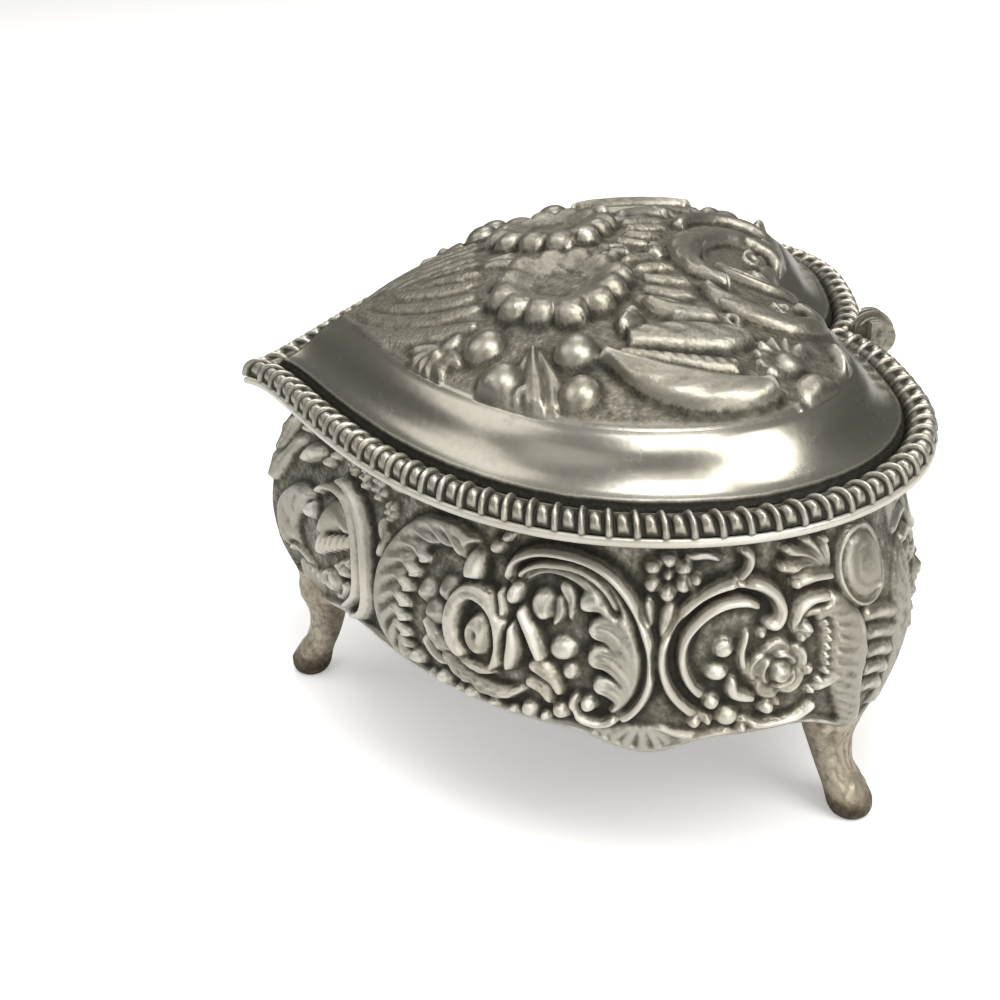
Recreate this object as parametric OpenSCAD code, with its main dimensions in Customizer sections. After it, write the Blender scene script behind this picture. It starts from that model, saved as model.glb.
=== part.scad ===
// Heart shaped footed box with a hinged domed lid, cast in soft white metal.
// Millimetres, +Z up, the tip of the heart points to -Y, the cleft and the hinge are at +Y.
// The origin lies on the table plane under the middle of the whole outline.

/* [Outline] */
// Width of the heart over the rim flange
rim_w = 110; // [96:1:126]
// Length of the heart over the rim flange, tip to the back of the lobes
rim_l = 94; // [84:1:106]
// Depth of the cleft between the lobes
cleft = 5; // [3.5:0.5:6.5]
// Height of the seam between lid and body above the table
seam_h = 52; // [48:1:60]

/* [Body wall] */
// Thickness of the cast wall
wall_t = 1.8; // [1.4:0.1:2.4]
// How far the neck stands in from the rim
neck_in = 4.2; // [3.5:0.1:5]
// How far the plain ground of the belly stands in from the rim flange
belly_in = 0.5; // [0.2:0.1:1]
// Height of the widest part of the belly
belly_h = 30; // [27:0.5:33]
// Height of the wall's lower edge between the feet
edge_h = 24; // [22:0.5:26]
// Drop of the shell in the middle of each side below that edge
drop_h = 3; // [2:0.5:4]
// Standing height of the scrolls and flowers on the wall
relief = 1.5; // [1:0.1:1.8]

/* [Feet] */
// Width of a foot at the ankle
ankle_w = 5.6; // [4.6:0.2:6.6]
// Radius of the rounded toe
toe_r = 3.3; // [2.8:0.1:3.8]
// How far in from the rim the middle of a toe stands
toe_in = 3.4; // [2.6:0.2:4.2]
// Place of a rear foot, in hundredths of the way along the rim from the tip to the cleft
rear_foot_at = 71; // [69:1:73]

/* [Lid] */
// Width of the rope border
rope_w = 3.6; // [3:0.1:4.2]
// Height of the rope border above the flange
rope_h = 3.3; // [2.8:0.1:3.8]
// Number of turns in the rope border
rope_turns = 100; // [80:2:110]
// Thickness of the flat flange under the rope
flange_t = 0.8; // [0.6:0.1:1.2]
// Inset of the raised panel from the rim
panel_in = 10.6; // [9.5:0.1:12]
// Height of the panel's edge above the seam
panel_h = 9.6; // [8:0.2:11]
// Further rise of the dome inside the panel
dome_h = 8; // [6:0.5:10]
// Thickness of the lid casting
lid_t = 2; // [1.6:0.1:2.6]
// Standing height of the flowers and leaves on the lid
bloom = 2.6; // [2:0.1:3.2]

/* [Hinge] */
// Diameter of the hinge pin
pin_d = 1.6; // [1.4:0.1:2]
// Diameter of the hinge knuckles
knuckle_d = 4.4; // [4:0.1:5]
// Width of the middle knuckle
mid_knuckle_w = 3.6; // [3:0.2:5]
// Width of each outer knuckle
side_knuckle_w = 2.2; // [1.8:0.2:3]

/* [Lining] */
// Thickness of the lining cloth and its card
lining_t = 1; // [0.8:0.1:1.4]
// Thickness of the padded floor
pad_t = 2.2; // [1.6:0.2:3]
// Thickness of the sheet bottom
base_t = 1.2; // [1:0.1:1.6]

/* [Hidden] */
$fn = 24;
half_w = rim_w / 2;
rope_out = 0.9;
hinge_gap = 0.3;
pin_clear = 0.05;
seat_gap = 0.05;
foot_gap = 0.1;
lid_gap = 0.1;
cloth_gap = 0.3;
knuckle_r = knuckle_d / 2;
hinge_back = 0.6;
lug_r = 3.1;
lug_y = hinge_back + 0.3;
// the outline reaches past the rim by the rope at the tip and by the hinge shell at the back
tip_out = 1.31 * rope_out;
back_out = lug_r - lug_y;
y_tip = -(rim_l + back_out - tip_out) / 2;
y_back = y_tip + rim_l;
hinge_y = y_back - hinge_back;
hinge_z = seam_h - knuckle_r - 0.2;
cy = y_tip + 0.556 * rim_l;
groove_in = rope_w - 0.2;
panel_z = seam_h + panel_h;
flange_z = seam_h + flange_t;
floor_z = edge_h + 0.6;

// ---- outline of the heart: three curves from the tip over the widest point to the cleft ----
function mix(a, b, t) = a + (b - a) * t;
function ss(t) = let (c = min(1, max(0, t))) c * c * (3 - 2 * c);
function unit(v) = v / max(norm(v), 0.000001);
function bez(a, b, c, e, t) = pow(1 - t, 3) * a + 3 * pow(1 - t, 2) * t * b + 3 * (1 - t) * t * t * c + pow(t, 3) * e;
function p_tip(d) = [0, y_tip + 1.31 * d];
function p_tip_arm(d) = [0.08 * half_w + 0.58 * d, y_tip + 0.0915 * rim_l + 1.1 * d];
function p_side_arm(d) = [half_w - 0.95 * d, y_tip + 0.215 * rim_l + 1.23 * d];
function p_wide(d) = [half_w - d, y_tip + 0.645 * rim_l];
function p_wide_arm(d) = [half_w - d, y_tip + 0.8415 * rim_l - 0.56 * d];
function p_lobe_arm(d) = [0.749 * half_w - 0.55 * d, y_back - d];
function p_lobe(d) = [0.427 * half_w, y_back - d];
function p_lobe_in(d) = [0.209 * half_w - 0.6 * d, y_back - 1.07 * d];
function p_cleft_arm(d) = [3.2 + 0.96 * d, y_back - 0.32 * cleft - 1.02 * d];
function p_cleft(d) = [0, y_back - cleft - 1.02 * d];
// point number i of the half outline (0 tip, 1 widest, 2 lobe, 3 cleft) at inset d
function hp(i, d) =
    i < 1 ? bez(p_tip(d), p_tip_arm(d), p_side_arm(d), p_wide(d), i) :
    i < 2 ? bez(p_wide(d), p_wide_arm(d), p_lobe_arm(d), p_lobe(d), i - 1) :
    bez(p_lobe(d), p_lobe_in(d), p_cleft_arm(d), p_cleft(d), min(1, i - 2));

// ---- run along the rim, measured from the tip ----
fine = 120;
run = [for (k = 0, a = 0; k <= fine; a = a + norm(hp(3 * min(k + 1, fine) / fine, 0) - hp(3 * k / fine, 0)), k = k + 1)
    [a, 3 * k / fine]];
total = run[fine][0];
function par(s) = lookup(min(abs(s), total), run);
rear_foot_s = total * rear_foot_at / 100;

// ---- upright profile of the wall: inset from the rim at height z ----
function wall_in(z) =
    z > belly_h ? mix(belly_in, neck_in, ss(pow(min(1, (z - belly_h) / (seam_h - 4 - belly_h)), 1.3))) :
    belly_in + 5.6 * pow((belly_h - z) / 18, 2);
// point on the wall at run s, height z, standing out by o
function wp(s, z, o) = let (p = hp(par(s), wall_in(z) - o)) [s < 0 ? -p[0] : p[0], p[1], z];
// lower edge of the wall: dips to the feet, a shell drop in the middle of each side
function dip(s, c, w) = let (t = min(1, abs(abs(s) - c) / w)) 0.5 + 0.5 * cos(180 * t);
drop_s = 0.485 * total;
function edge_z(s) = edge_h - 8.5 * dip(s, 0, 32) - 8 * dip(s, rear_foot_s, 18) - drop_h * dip(s, drop_s, 10);

// ---- closed loops and skins ----
run_back = [for (r = run) [r[1], r[0]]];
cols = [for (i = concat([for (k = [0 : 9]) k / 10], [for (k = [0 : 5]) 1 + k / 6], [for (k = [0 : 5]) 2 + k / 5]))
    lookup(i, run_back)];
function both(half) = concat(half, [for (k = [len(half) - 2 : -1 : 1]) [-half[k][0], half[k][1], half[k][2]]]);
function loop_flat(d, z) = both([for (s = cols) let (p = hp(par(s), d)) [p[0], p[1], z]]);
function quads(r, n) = [for (i = [0 : r - 2]) for (j = [0 : n - 1]) each
    [[i * n + j, (i + 1) * n + j, (i + 1) * n + (j + 1) % n], [i * n + j, (i + 1) * n + (j + 1) % n, i * n + (j + 1) % n]]];
// loops stacked in turn and joined last to first, like a ring
module ring_skin(loops) {
    n = len(loops[0]);
    all = [for (l = concat(loops, [loops[0]])) each l];
    m = len(loops);
    f = [for (q = quads(m + 1, n)) [for (v = q) v % (m * n)]];
    polyhedron(points = [for (l = loops) each l], faces = f);
}
// loops stacked in turn, closed by a point at each end
module capped_skin(loops, first, last) {
    n = len(loops[0]);
    m = len(loops);
    pts = concat([for (l = loops) each l], [first, last]);
    f = concat(quads(m, n), [for (j = [0 : n - 1]) [m * n, j, (j + 1) % n]],
        [for (j = [0 : n - 1]) [m * n + 1, (m - 1) * n + (j + 1) % n, (m - 1) * n + j]]);
    polyhedron(points = pts, faces = f);
}
// tapered strand through points, with outward normals and radii, flattened across the normal
module strand(pts, nrm, rad, sides, flat) {
    n = len(pts);
    loops = [for (i = [0 : n - 1])
        let (t = unit(pts[min(n - 1, i + 1)] - pts[max(0, i - 1)]))
        let (b = unit(cross(t, nrm[i])), u = cross(b, t))
        [for (k = [0 : sides - 1]) let (a = 90 - 360 * k / sides) pts[i] + rad[i] * (cos(a) * b + flat * sin(a) * u)]];
    capped_skin(loops, pts[0], pts[n - 1]);
}

// ---- scroll work on the wall, drawn on a band 162 long and 28 high that is fitted to the wall ----
function fs(s) = s * total / 162;
function fz(z) = edge_h + (z - 24) * (seam_h - edge_h) / 28;
function fw(s, z, o) = wp(fs(s), fz(z), o);
function wn(s, z) = unit(fw(s, z, 1) - fw(s, z, 0));
// spiral arm: centre, start angle, sweep, start radius, end radius, stretch in height
function arm(c, a0, sweep, r0, r1, k, steps) = [for (i = [0 : steps]) let (t = i / steps, r = mix(r0, r1, t), a = a0 + sweep * t)
    [c[0] + r * cos(a), c[1] + k * r * sin(a)]];
// scroll laid on the wall along points given as run and height
module wall_scroll(p, r) {
    n = len(p);
    strand([for (q = p) fw(q[0], q[1], -0.25)], [for (q = p) wn(q[0], q[1])],
        [for (i = [0 : n - 1]) r * (0.3 + 0.7 * pow(sin(180 * mix(0.06, 0.86, i / (n - 1))), 0.6))], 3, relief / r);
}
module both_sides() {
    children();
    mirror([1, 0, 0])
        children();
}
// small rounded leaf or petal on the wall
module wall_petal(s0, z0, s1, z1, r) {
    hull() {
        translate(fw(s0, z0, -0.4))
            sphere(r = 0.5 * r, $fn = 5);
        translate(fw(s1, z1, 0.25 * relief))
            sphere(r = min(r, 1.4), $fn = 5);
    }
}
// five petals: rings of points that reach out and rise at each petal and fall back between
petal_rings = [[1, -0.6, -0.6], [0.86, 0.75, 0.1], [0.5, 1.15, 0.5], [0.3, 0.45, 0.45]];
module wall_rose(s, z, r) {
    loops = [for (q = petal_rings) [for (k = [0 : 9]) let (t = k % 2 == 0 ? 1 : 0.7, c = r * q[0] * t)
        fw(s + c * cos(36 * k + 18), z + c * sin(36 * k + 18), relief * (k % 2 == 0 ? q[1] : q[2]))]];
    capped_skin(loops, fw(s, z, -0.6 * relief), fw(s, z, 1.1 * relief));
}
module wall_bead(s, z, r) {
    translate(fw(s, z, -0.2))
        sphere(r = r, $fn = 5);
}

// scroll, rose, tail and leaves in front of the rear foot for k = 1, and behind it for k = -1
module rear_cartouche(k) {
    function at(q) = [for (v = q) [k > 0 ? v[0] : 225.5 - v[0], v[1]]];
    wall_scroll(at(concat([[96, 40.6]], arm([91, 35.5], 75, 195, 8, 10.2, 1, 5))), 1.2);
    wall_rose(at([[94, 33.8]])[0][0], 33.8, 4.3);
    wall_scroll(at([[98.5, 38.6], [101, 41], [104.8, 39.6], [106.4, 34.2], [106.2, 28.4], [108.2, 22]]), 1.7);
}
module wall_side() {
    // tip cartouche, its tail running down on to the front foot, and the lobe that curls over beside it
    wall_scroll(concat([[15.2, 36.5]], arm([19, 33], 130, -145, 8.6, 13.5, 1, 5), [[28, 25], [18.5, 22], [9, 18.8]]), 1.3);
    wall_scroll([[3.6, 24], [4.8, 30], [7, 35.2], [10.6, 38], [13.8, 36]], 1.5);
    wall_rose(23, 33, 3.4);
    wall_petal(2.5, 39, 7, 43.5, 1.1);
    // first large scroll, opening toward the middle of the side, with teeth along its inside
    wall_scroll(arm([50, 35.5], 50, 190, 7.4, 13.2, 0.84, 6), 1.7);
    for (k = [0 : 2])
        wall_scroll([[38.8, 30.2 + 4 * k], [41, 31.4 + 4 * k], [43.6 + 0.3 * k * k, 32 + 4.1 * k]], 1.2);
    wall_rose(57, 34.8, 4.9);
    // second large scroll, facing it, with lobes along its inside
    wall_scroll(arm([66.5, 35.5], 140, -215, 8, 12.5, 0.86, 6), 1.5);
    for (k = [0 : 2])
        wall_scroll([[77 + 0.4 * k, 29.8 + 4 * k], [75 - 0.1 * k, 31.2 + 4.1 * k], [72.4 - 0.6 * k, 32 + 4.2 * k]], 1.3);
    wall_petal(62.6, 39.2, 65.6, 40.6, 1.4);
    // flower between the scrolls and the drop of the shell
    wall_rose(81.5, 43.6, 3.1);
    for (k = [-1 : 1])
        wall_petal(78.5, 25, 78.5 + 3.6 * k, 22.4 + 0.9 * abs(k), 1);
    // cartouche on each side of the rear foot, with its tail on the foot
    for (k = [1, -1])
        rear_cartouche(k);
    for (k = [0 : 2])
        wall_petal(104, 42.4, 98 + 2.6 * k, 44.4 + 1.1 * k, 0.9);
    wall_scroll([[107.2, 41.8], [109.4, 41.8], [112, 41.8], [114.6, 41.8], [116.8, 41.8]], 3.4);
    for (k = [0 : 3])
        wall_scroll([[109.6, 33.6 - 3 * k], [113, 34.6 - 3 * k], [116.6, 33.8 - 3 * k]], 1.1);
    // fan in the cleft
    for (k = [0 : 2])
        wall_scroll([[159.4, 31.2 + k], [155 + 0.9 * k, 33.4 + 3 * k], [150.6 + 2.4 * k, 34.6 + 5 * k]], 1.5);
    for (k = [0 : 2])
        wall_bead(45.4 + 8.4 * k, 25.6, 1.1);
}

// the inside of the wall comes down to the bottom sheet's ledge, or lower where a foot hangs
function inner_z(s) = edge_z(s) + 0.3;
function z_up(s, t) = mix(edge_z(s), seam_h - lid_gap, t);
rows_out = [0, 0.2, 0.4, 0.58, 0.78, 1];
// straight steps of the wall's inside, shared with the lining
neck_steps = [seam_h - lid_gap, belly_h + 15, belly_h + 7, belly_h];
inside_table = [for (k = [3 : -1 : 0]) [neck_steps[k], wall_in(neck_steps[k]) + wall_t]];
function inside_in(z) = z < belly_h ? wall_in(z) + wall_t : lookup(z, inside_table);
function inside_pt(s, z, o) = let (p = hp(par(s), inside_in(z) + o)) [s < 0 ? -p[0] : p[0], p[1], z];
module wall() {
    color([0.62, 0.6, 0.55])
    union() {
        ring_skin(concat(
            [for (t = rows_out) both([for (s = cols) wp(s, z_up(s, t), 0)])],
            [for (z = neck_steps) both([for (s = cols) inside_pt(s, z, 0)])],
            [for (t = [0.55, 0]) both([for (s = cols) inside_pt(s, mix(inner_z(s), belly_h, t), 0)])]));
        both_sides()
            wall_side();
    }
}

// ---- feet: a flared leg with a rounded toe, cut off under the wall's lower edge ----
// each row: height, distance of the middle in from the toe, width added to the ankle's, thickness
foot_rows = [[0, 0, -1.2, 4.6], [0.5, 0, -0.2, 5.6], [1.4, 0.1, 0.5, 2 * toe_r - 0.2], [2.6, 0.3, 0.9, 2 * toe_r],
    [4.3, 1.1, 0.7, 5.9], [6.4, 2.5, 0.1, 5.3], [8.6, 3.4, 0.3, 5.2], [11.5, 4, 1.6, 5.8], [14.5, 4, 4, 7.2],
    [17.5, 3.2, 6, 8.6], [20.5, 2.6, 6.8, 9.4]];
function rim_out(s) = s == 0 ? [0, -1] : unit(hp(par(s), 0) - hp(par(s), 1));
// point of a foot: height z, distance d in from the toe's middle, w sideways
function fp(s, z, d, w) = let (n = rim_out(s), q = hp(par(s), 0) - n * (toe_in + d) + [-n[1], n[0]] * w) [q[0], q[1], z];
module leg(s) {
    m = 8;
    capped_skin([for (r = foot_rows) [for (k = [0 : m - 1]) let (a = 360 * k / m)
        fp(s, r[0], r[1] + r[3] / 2 * sin(a), (ankle_w + r[2]) / 2 * cos(a))]], fp(s, 0, 0, 0), fp(s, 20.5, 2.6, 0));
}
// everything of the wall above its lower edge, as a ring that trims the feet
module edge_cutter() {
    function low(o) = both([for (s = cols) wp(s, edge_z(s) - foot_gap, o)]);
    function high(o) = [for (p = both([for (s = cols) wp(s, edge_z(s), o)])) [p[0], p[1], edge_h + 12]];
    ring_skin([low(9), high(9), high(-22), low(-22), low(-wall_t), low(0)]);
}
// raised leaf down the front of a foot
module foot_leaf(s) {
    for (k = [-1 : 1])
        hull() {
            translate(fp(s, 13.2, 1.3 + 0.4 * abs(k), 2.5 * k))
                sphere(r = 0.8, $fn = 5);
            translate(fp(s, 7.2, 0.7 + 0.2 * abs(k), 0.9 * k))
                sphere(r = 0.55, $fn = 5);
        }
    for (k = [-1 : 2 : 1])
        for (z = [4.6, 9.4])
            hull() {
                translate(fp(s, z, z < 5 ? -0.5 : 1.6, 1.5 * k))
                    sphere(r = 0.6, $fn = 5);
                translate(fp(s, z + 1.6, z < 5 ? 0.5 : 1.6, 2.3 * k))
                    sphere(r = 0.5, $fn = 5);
            }
    hull() {
        translate(fp(s, 3.2, -2.7, 0))
            sphere(r = 0.7, $fn = 5);
        translate(fp(s, 6, -0.3, 0))
            sphere(r = 0.7, $fn = 5);
    }
}
module foot(s) {
    color([0.55, 0.53, 0.48])
    difference() {
        union() {
            leg(s);
            foot_leaf(s);
        }
        edge_cutter();
    }
}
module foot_tip() {
    foot(0);
}
module foot_right() {
    foot(rear_foot_s);
}
module foot_left() {
    mirror([1, 0, 0])
        foot(rear_foot_s);
}

// ---- bottom sheet and lining ----
module heart_slab(d, z, h) {
    translate([0, 0, z])
        linear_extrude(height = h)
            polygon([for (p = loop_flat(d, 0)) [p[0], p[1]]]);
}
base_in = inside_in(floor_z) + 0.25;
module base_plate() {
    color([0.5, 0.48, 0.44])
        heart_slab(base_in, floor_z, base_t);
}
pad_z = floor_z + base_t + seat_gap;
module floor_pad() {
    color([0.42, 0.06, 0.1])
        heart_slab(inside_in(pad_z) + cloth_gap + 0.5, pad_z, pad_t);
}
lining_z0 = pad_z + pad_t + 0.2;
lining_z1 = seam_h - 1.6;
module wall_lining() {
    zs = [lining_z0, neck_steps[2], neck_steps[1], lining_z1];
    color([0.42, 0.06, 0.1])
        ring_skin(concat([for (z = zs) both([for (s = cols) inside_pt(s, z, cloth_gap)])],
            [for (k = [3 : -1 : 0]) both([for (s = cols) inside_pt(s, zs[k], cloth_gap + lining_t)])]));
}

// ---- lid: dome described by direction from its middle and share of the way out ----
function panel_pt(s, d) = let (p = hp(par(s), d)) [p[0], p[1] - cy];
function fill_in(v) = (cleft - 0.5) * exp(-pow((atan2(v[1], v[0]) - 90) / 14, 2));
function dome_z(u) = panel_z + dome_h * pow(max(0, 1 - u * u), 0.85);
// loop of the dome at share u, standing d in from the panel's outer edge and dz down
function dome_loop(u, d, dz) = both([for (s = cols) let (v = panel_pt(s, panel_in + d), r = norm(v), w = unit(v))
    let (q = w * u * (r + (1 - u) * fill_in(v))) [q[0], q[1] + cy, dome_z(u) - dz]]);
// share of the way out at a plan point
edge_table = [for (k = [0 : 72]) let (v = panel_pt(total * k / 72, panel_in)) [atan2(v[1], v[0]), norm(v)]];
function share(x, y) = let (v = [abs(x), y - cy], r1 = lookup(atan2(v[1], v[0]), edge_table), f = fill_in(v), r = norm(v))
    r / (r1 + f * (1 - min(1, r / r1)));
function lp(x, y, o) = [x, y, dome_z(min(1, share(x, y))) + o];
// point of the lid's ornament, drawn for a lid 110 wide and 94 long and fitted to this one
function lq(x, y, o) = lp(x * rim_w / 110, cy + (y + 3) * rim_l / 94, o);
lid_rise = [[0, 0], [0.5, 0.44], [0.88, 0.92]];
hollow_in = groove_in + 2.8 + lid_t;
module lid_shell() {
    capped_skin(concat(
        [for (u = [0.48, 0.94]) dome_loop(u, lid_t, lid_t)],
        [loop_flat(mix(hollow_in, panel_in + lid_t, 0.6), mix(seam_h + 2.2, panel_z - lid_t, 0.62)),
            loop_flat(hollow_in, seam_h + 2.2), loop_flat(hollow_in, seam_h), loop_flat(0, seam_h), loop_flat(0, flange_z),
            loop_flat(groove_in, flange_z + rope_h - 0.7)],
        [for (b = lid_rise) loop_flat(mix(groove_in + 0.4, panel_in, b[0]), mix(flange_z + rope_h - 0.5, panel_z, b[1]))],
        [for (u = [1, 0.88, 0.66, 0.36]) dome_loop(u, 0, 0)]),
        [0, cy, dome_z(0) - lid_t], [0, cy, dome_z(0)]);
}
// rope border: slanted turns around the rim, a ridge and a valley for each
module rope() {
    st = 2 * rope_turns;
    prof = 3;
    // point k of the section at station i, leaning along the rim; the far half mirrors the near half
    function rp(i, k) =
        let (s = 2 * total * i / st, s1 = s > total ? 2 * total - s : s, sg = s > total ? -1 : 1, a = 180 * k / (prof - 1))
        let (lean = 1.5 * (0.5 - k / (prof - 1)) * min(1, s1 / 5) * min(1, (total - s1) / 5), sw = i % 2 == 0 ? 1 : 0.74)
        let (d = groove_in - (groove_in + rope_out) * (0.5 - 0.5 * cos(a)) * mix(1, sw, 0.4), p = hp(par(s1 + lean), d))
        [sg * p[0], p[1], flange_z - 0.1 + rope_h * sin(a) * sw];
    f = [for (i = [0 : st - 1]) for (k = [0 : prof - 1]) each
        [[i * prof + k, ((i + 1) % st) * prof + k, ((i + 1) % st) * prof + (k + 1) % prof],
            [i * prof + k, ((i + 1) % st) * prof + (k + 1) % prof, i * prof + (k + 1) % prof]]];
    polyhedron(points = [for (i = [0 : st - 1]) for (k = [0 : prof - 1]) rp(i, k)], faces = f);
}
// leaf or scroll on the dome through plan points, rounded, tapered at both ends
module dome_strand(p, r, flat) {
    n = len(p);
    strand([for (q = p) lq(q[0], q[1], 0)], [for (q = p) [0, 0, 1]],
        [for (i = [0 : n - 1]) r * (0.25 + 0.75 * pow(sin(180 * mix(0.05, 0.88, i / (n - 1))), 0.7))], 3, flat);
}
module dome_petal(x0, y0, x1, y1, r, up) {
    hull() {
        translate(lq(x0, y0, 0.1))
            sphere(r = 0.55 * r, $fn = 4);
        translate(lq(x1, y1, up - r))
            sphere(r = r, $fn = 5);
    }
}
flower_x = 12.4;
flower_y = -9;
// flower of the dome: petals round a hollow middle, drawn for one half
module dome_flower() {
    for (k = [0 : 7])
        let (c = cos(45 * k + 11), v = sin(45 * k + 11))
            dome_petal(flower_x + 4.4 * c, flower_y + 4.4 * v, flower_x + 7.7 * c, flower_y + 7.7 * v, 2.5, bloom);
    translate(lq(flower_x, flower_y, 0.1))
        sphere(r = 1.5, $fn = 5);
}
module lid_side() {
    dome_flower();
    for (q = [[24.5, -19.4], [32, -17.8], [31, -8], [37.4, -8.8], [38.6, 18.4]])
        translate(lq(q[0], q[1], 0.5))
            sphere(r = 2.1, $fn = 5);
    dome_petal(25.6, -13.2, 37.5, -13.6, 1.5, 1.8);
    dome_petal(24, -1.2, 27.6, 0.4, 1.1, 1.3);
    dome_petal(32.4, 9, 35.4, 12, 1.2, 1.4);
    for (k = [-1 : 1])
        dome_petal(19, -24.6, 23.5, -26.6 + 3 * k, 1.1, 1.3);
    // leaves toward the tip
    dome_strand([[13.4, -20.6], [13, -24.5], [10.8, -29.5], [7, -34], [3, -37.5]], 2.2, 0.55);
    dome_strand([[7.6, -20.8], [6.6, -25.5], [4.5, -31], [1.6, -35]], 1.8, 0.6);
    // great scroll toward the lobe, the leaf beside it and the curl round the lobe
    dome_strand([[23.8, -4.4], [29.2, -1.8], [34.6, 1.4], [38.6, 5.8], [40, 10.4], [38.6, 14.2]], 2.8, 0.75);
    dome_strand([[19.4, 2.6], [22.8, 4.4], [26, 7.2], [26.8, 10.4], [24.8, 12.6]], 1.9, 0.8);
    dome_strand([[24.6, 24.9], [27.6, 25.6], [30.6, 24.6], [31.9, 22.3]], 1.35, 0.9);
}
// scroll across the middle of the lid
module lid_middle() {
    dome_strand([[11.6, 13], [8, 10.4], [2.4, 9.4], [-4.4, 10.8], [-9.8, 14.4], [-11.6, 19.4], [-9.6, 24], [-5.4, 25]], 2.6, 0.75);
    dome_strand([[4.6, 14.6], [7.2, 17.4], [7.4, 21], [5, 23.6]], 1.6, 0.8);
    dome_strand([[16, 10.4], [19.6, 12.2], [22.4, 15.8], [23, 20], [20.6, 24], [16.6, 25]], 1.9, 0.75);
    dome_strand([[-18.6, 11.2], [-22, 14.6], [-23.2, 18.8], [-21.4, 23]], 1.9, 0.75);
}
module lid() {
    color([0.66, 0.64, 0.6])
    union() {
        lid_shell();
        rope();
        lid_middle();
        both_sides()
            lid_side();
    }
}
// loops of the lid's inside from the middle outward, moved in by g
function inside_loops(g) = concat([for (u = [0.48, 0.94]) dome_loop(u, lid_t + g, lid_t + g)],
    [loop_flat(mix(hollow_in, panel_in + lid_t, 0.6) + g, mix(seam_h + 2.2, panel_z - lid_t, 0.62) - g),
        loop_flat(hollow_in + g, seam_h + 2.2 - 0.3 * g), loop_flat(hollow_in + g, seam_h + 0.4)]);
module lid_lining() {
    outer = inside_loops(cloth_gap);
    color([0.42, 0.06, 0.1])
        capped_skin(concat(inside_loops(cloth_gap + lining_t), [for (k = [4 : -1 : 0]) outer[k]]),
            [0, cy, dome_z(0) - lid_t - cloth_gap - lining_t], [0, cy, dome_z(0) - lid_t - cloth_gap]);
}

// ---- hinge in the cleft ----
module along_x(r, w, x) {
    translate([x - w / 2, hinge_y, hinge_z])
        rotate([0, 90, 0])
            cylinder(r = r, h = w, $fn = 16);
}
side_x = mid_knuckle_w / 2 + hinge_gap + side_knuckle_w / 2;
pin_len = 2 * side_x + side_knuckle_w + 0.6;
module hinge_pin() {
    color([0.7, 0.68, 0.62])
    union() {
        along_x(pin_d / 2, pin_len, 0);
        for (k = [-1, 1])
            along_x(pin_d / 2 + 0.5, 0.5, k * (pin_len / 2 + 0.15));
    }
}
neck_y = y_back - cleft - 1.02 * neck_in;
// body of the box at the neck, as a solid that trims the bracket
module neck_solid() {
    capped_skin(concat([for (t = rows_out) both([for (s = cols) wp(s, z_up(s, t), seat_gap)])],
        [both([for (s = cols) let (p = wp(s, seam_h, seat_gap)) [p[0], p[1], seam_h + 1]])]),
        [0, cy, edge_h - 4], [0, cy, seam_h + 1]);
}
module hinge_bracket() {
    color([0.58, 0.56, 0.5])
    difference() {
        union() {
            for (k = [-1, 1]) {
                along_x(knuckle_r, side_knuckle_w, k * side_x);
                hull() {
                    translate([k * side_x - side_knuckle_w / 2, neck_y - 1, hinge_z - knuckle_r])
                        cube([side_knuckle_w, 1, 3.4]);
                    translate([k * side_x - side_knuckle_w / 2, hinge_y - 1, hinge_z - knuckle_r])
                        cube([side_knuckle_w, 1, 2.6]);
                }
            }
            translate([-side_x - side_knuckle_w / 2, neck_y - 1, hinge_z - knuckle_r])
                cube([2 * side_x + side_knuckle_w, 3.2, 3.4]);
        }
        for (k = [-1, 1])
            along_x(pin_d / 2 + pin_clear, side_knuckle_w + 2, k * side_x);
        neck_solid();
    }
}
lug_z = flange_z + 2.4;
module hinge_shell() {
    color([0.6, 0.58, 0.53])
    difference() {
        union() {
            along_x(knuckle_r, mid_knuckle_w, 0);
            translate([-mid_knuckle_w / 2, hinge_y - knuckle_r + 0.4, hinge_z])
                cube([mid_knuckle_w, 2 * knuckle_r - 0.8, lug_z - hinge_z]);
            translate([0, y_back - lug_y, lug_z])
                rotate([0, 90, 0])
                    cylinder(r = lug_r - 0.5, h = 6.4, center = true, $fn = 16);
            for (k = [-1 : 1])
                translate([2.3 * k, y_back - lug_y, lug_z])
                    rotate([0, 90, 0])
                        cylinder(r = lug_r - 0.3 * abs(k), h = 1.1, center = true, $fn = 16);
        }
        along_x(pin_d / 2 + pin_clear, mid_knuckle_w + 2, 0);
        // the lid's edge in the cleft, and the seam below the flange beside the middle knuckle
        translate([0, 0, seam_h - 1])
            linear_extrude(height = 12)
                polygon([for (p = loop_flat(-rope_out - seat_gap, 0)) [p[0], p[1]]]);
    }
}

wall();
foot_tip();
foot_left();
foot_right();
base_plate();
floor_pad();
wall_lining();
lid();
lid_lining();
hinge_bracket();
hinge_shell();
hinge_pin();
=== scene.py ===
"""Looks of a heart shaped, footed box in cast white metal with a hinged, domed lid.

The castings are dense meshes whose relief is real geometry: heights drawn on a band that runs
round the wall, on the dome and on the rope border, in millimetres. The outline is the same family
of inset heart curves as the frame's. The tip of the heart is at -Y, the hinge at +Y.
"""
import functools
import itertools
import math

import bpy
import numpy as np
from mathutils import Matrix, Vector


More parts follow.
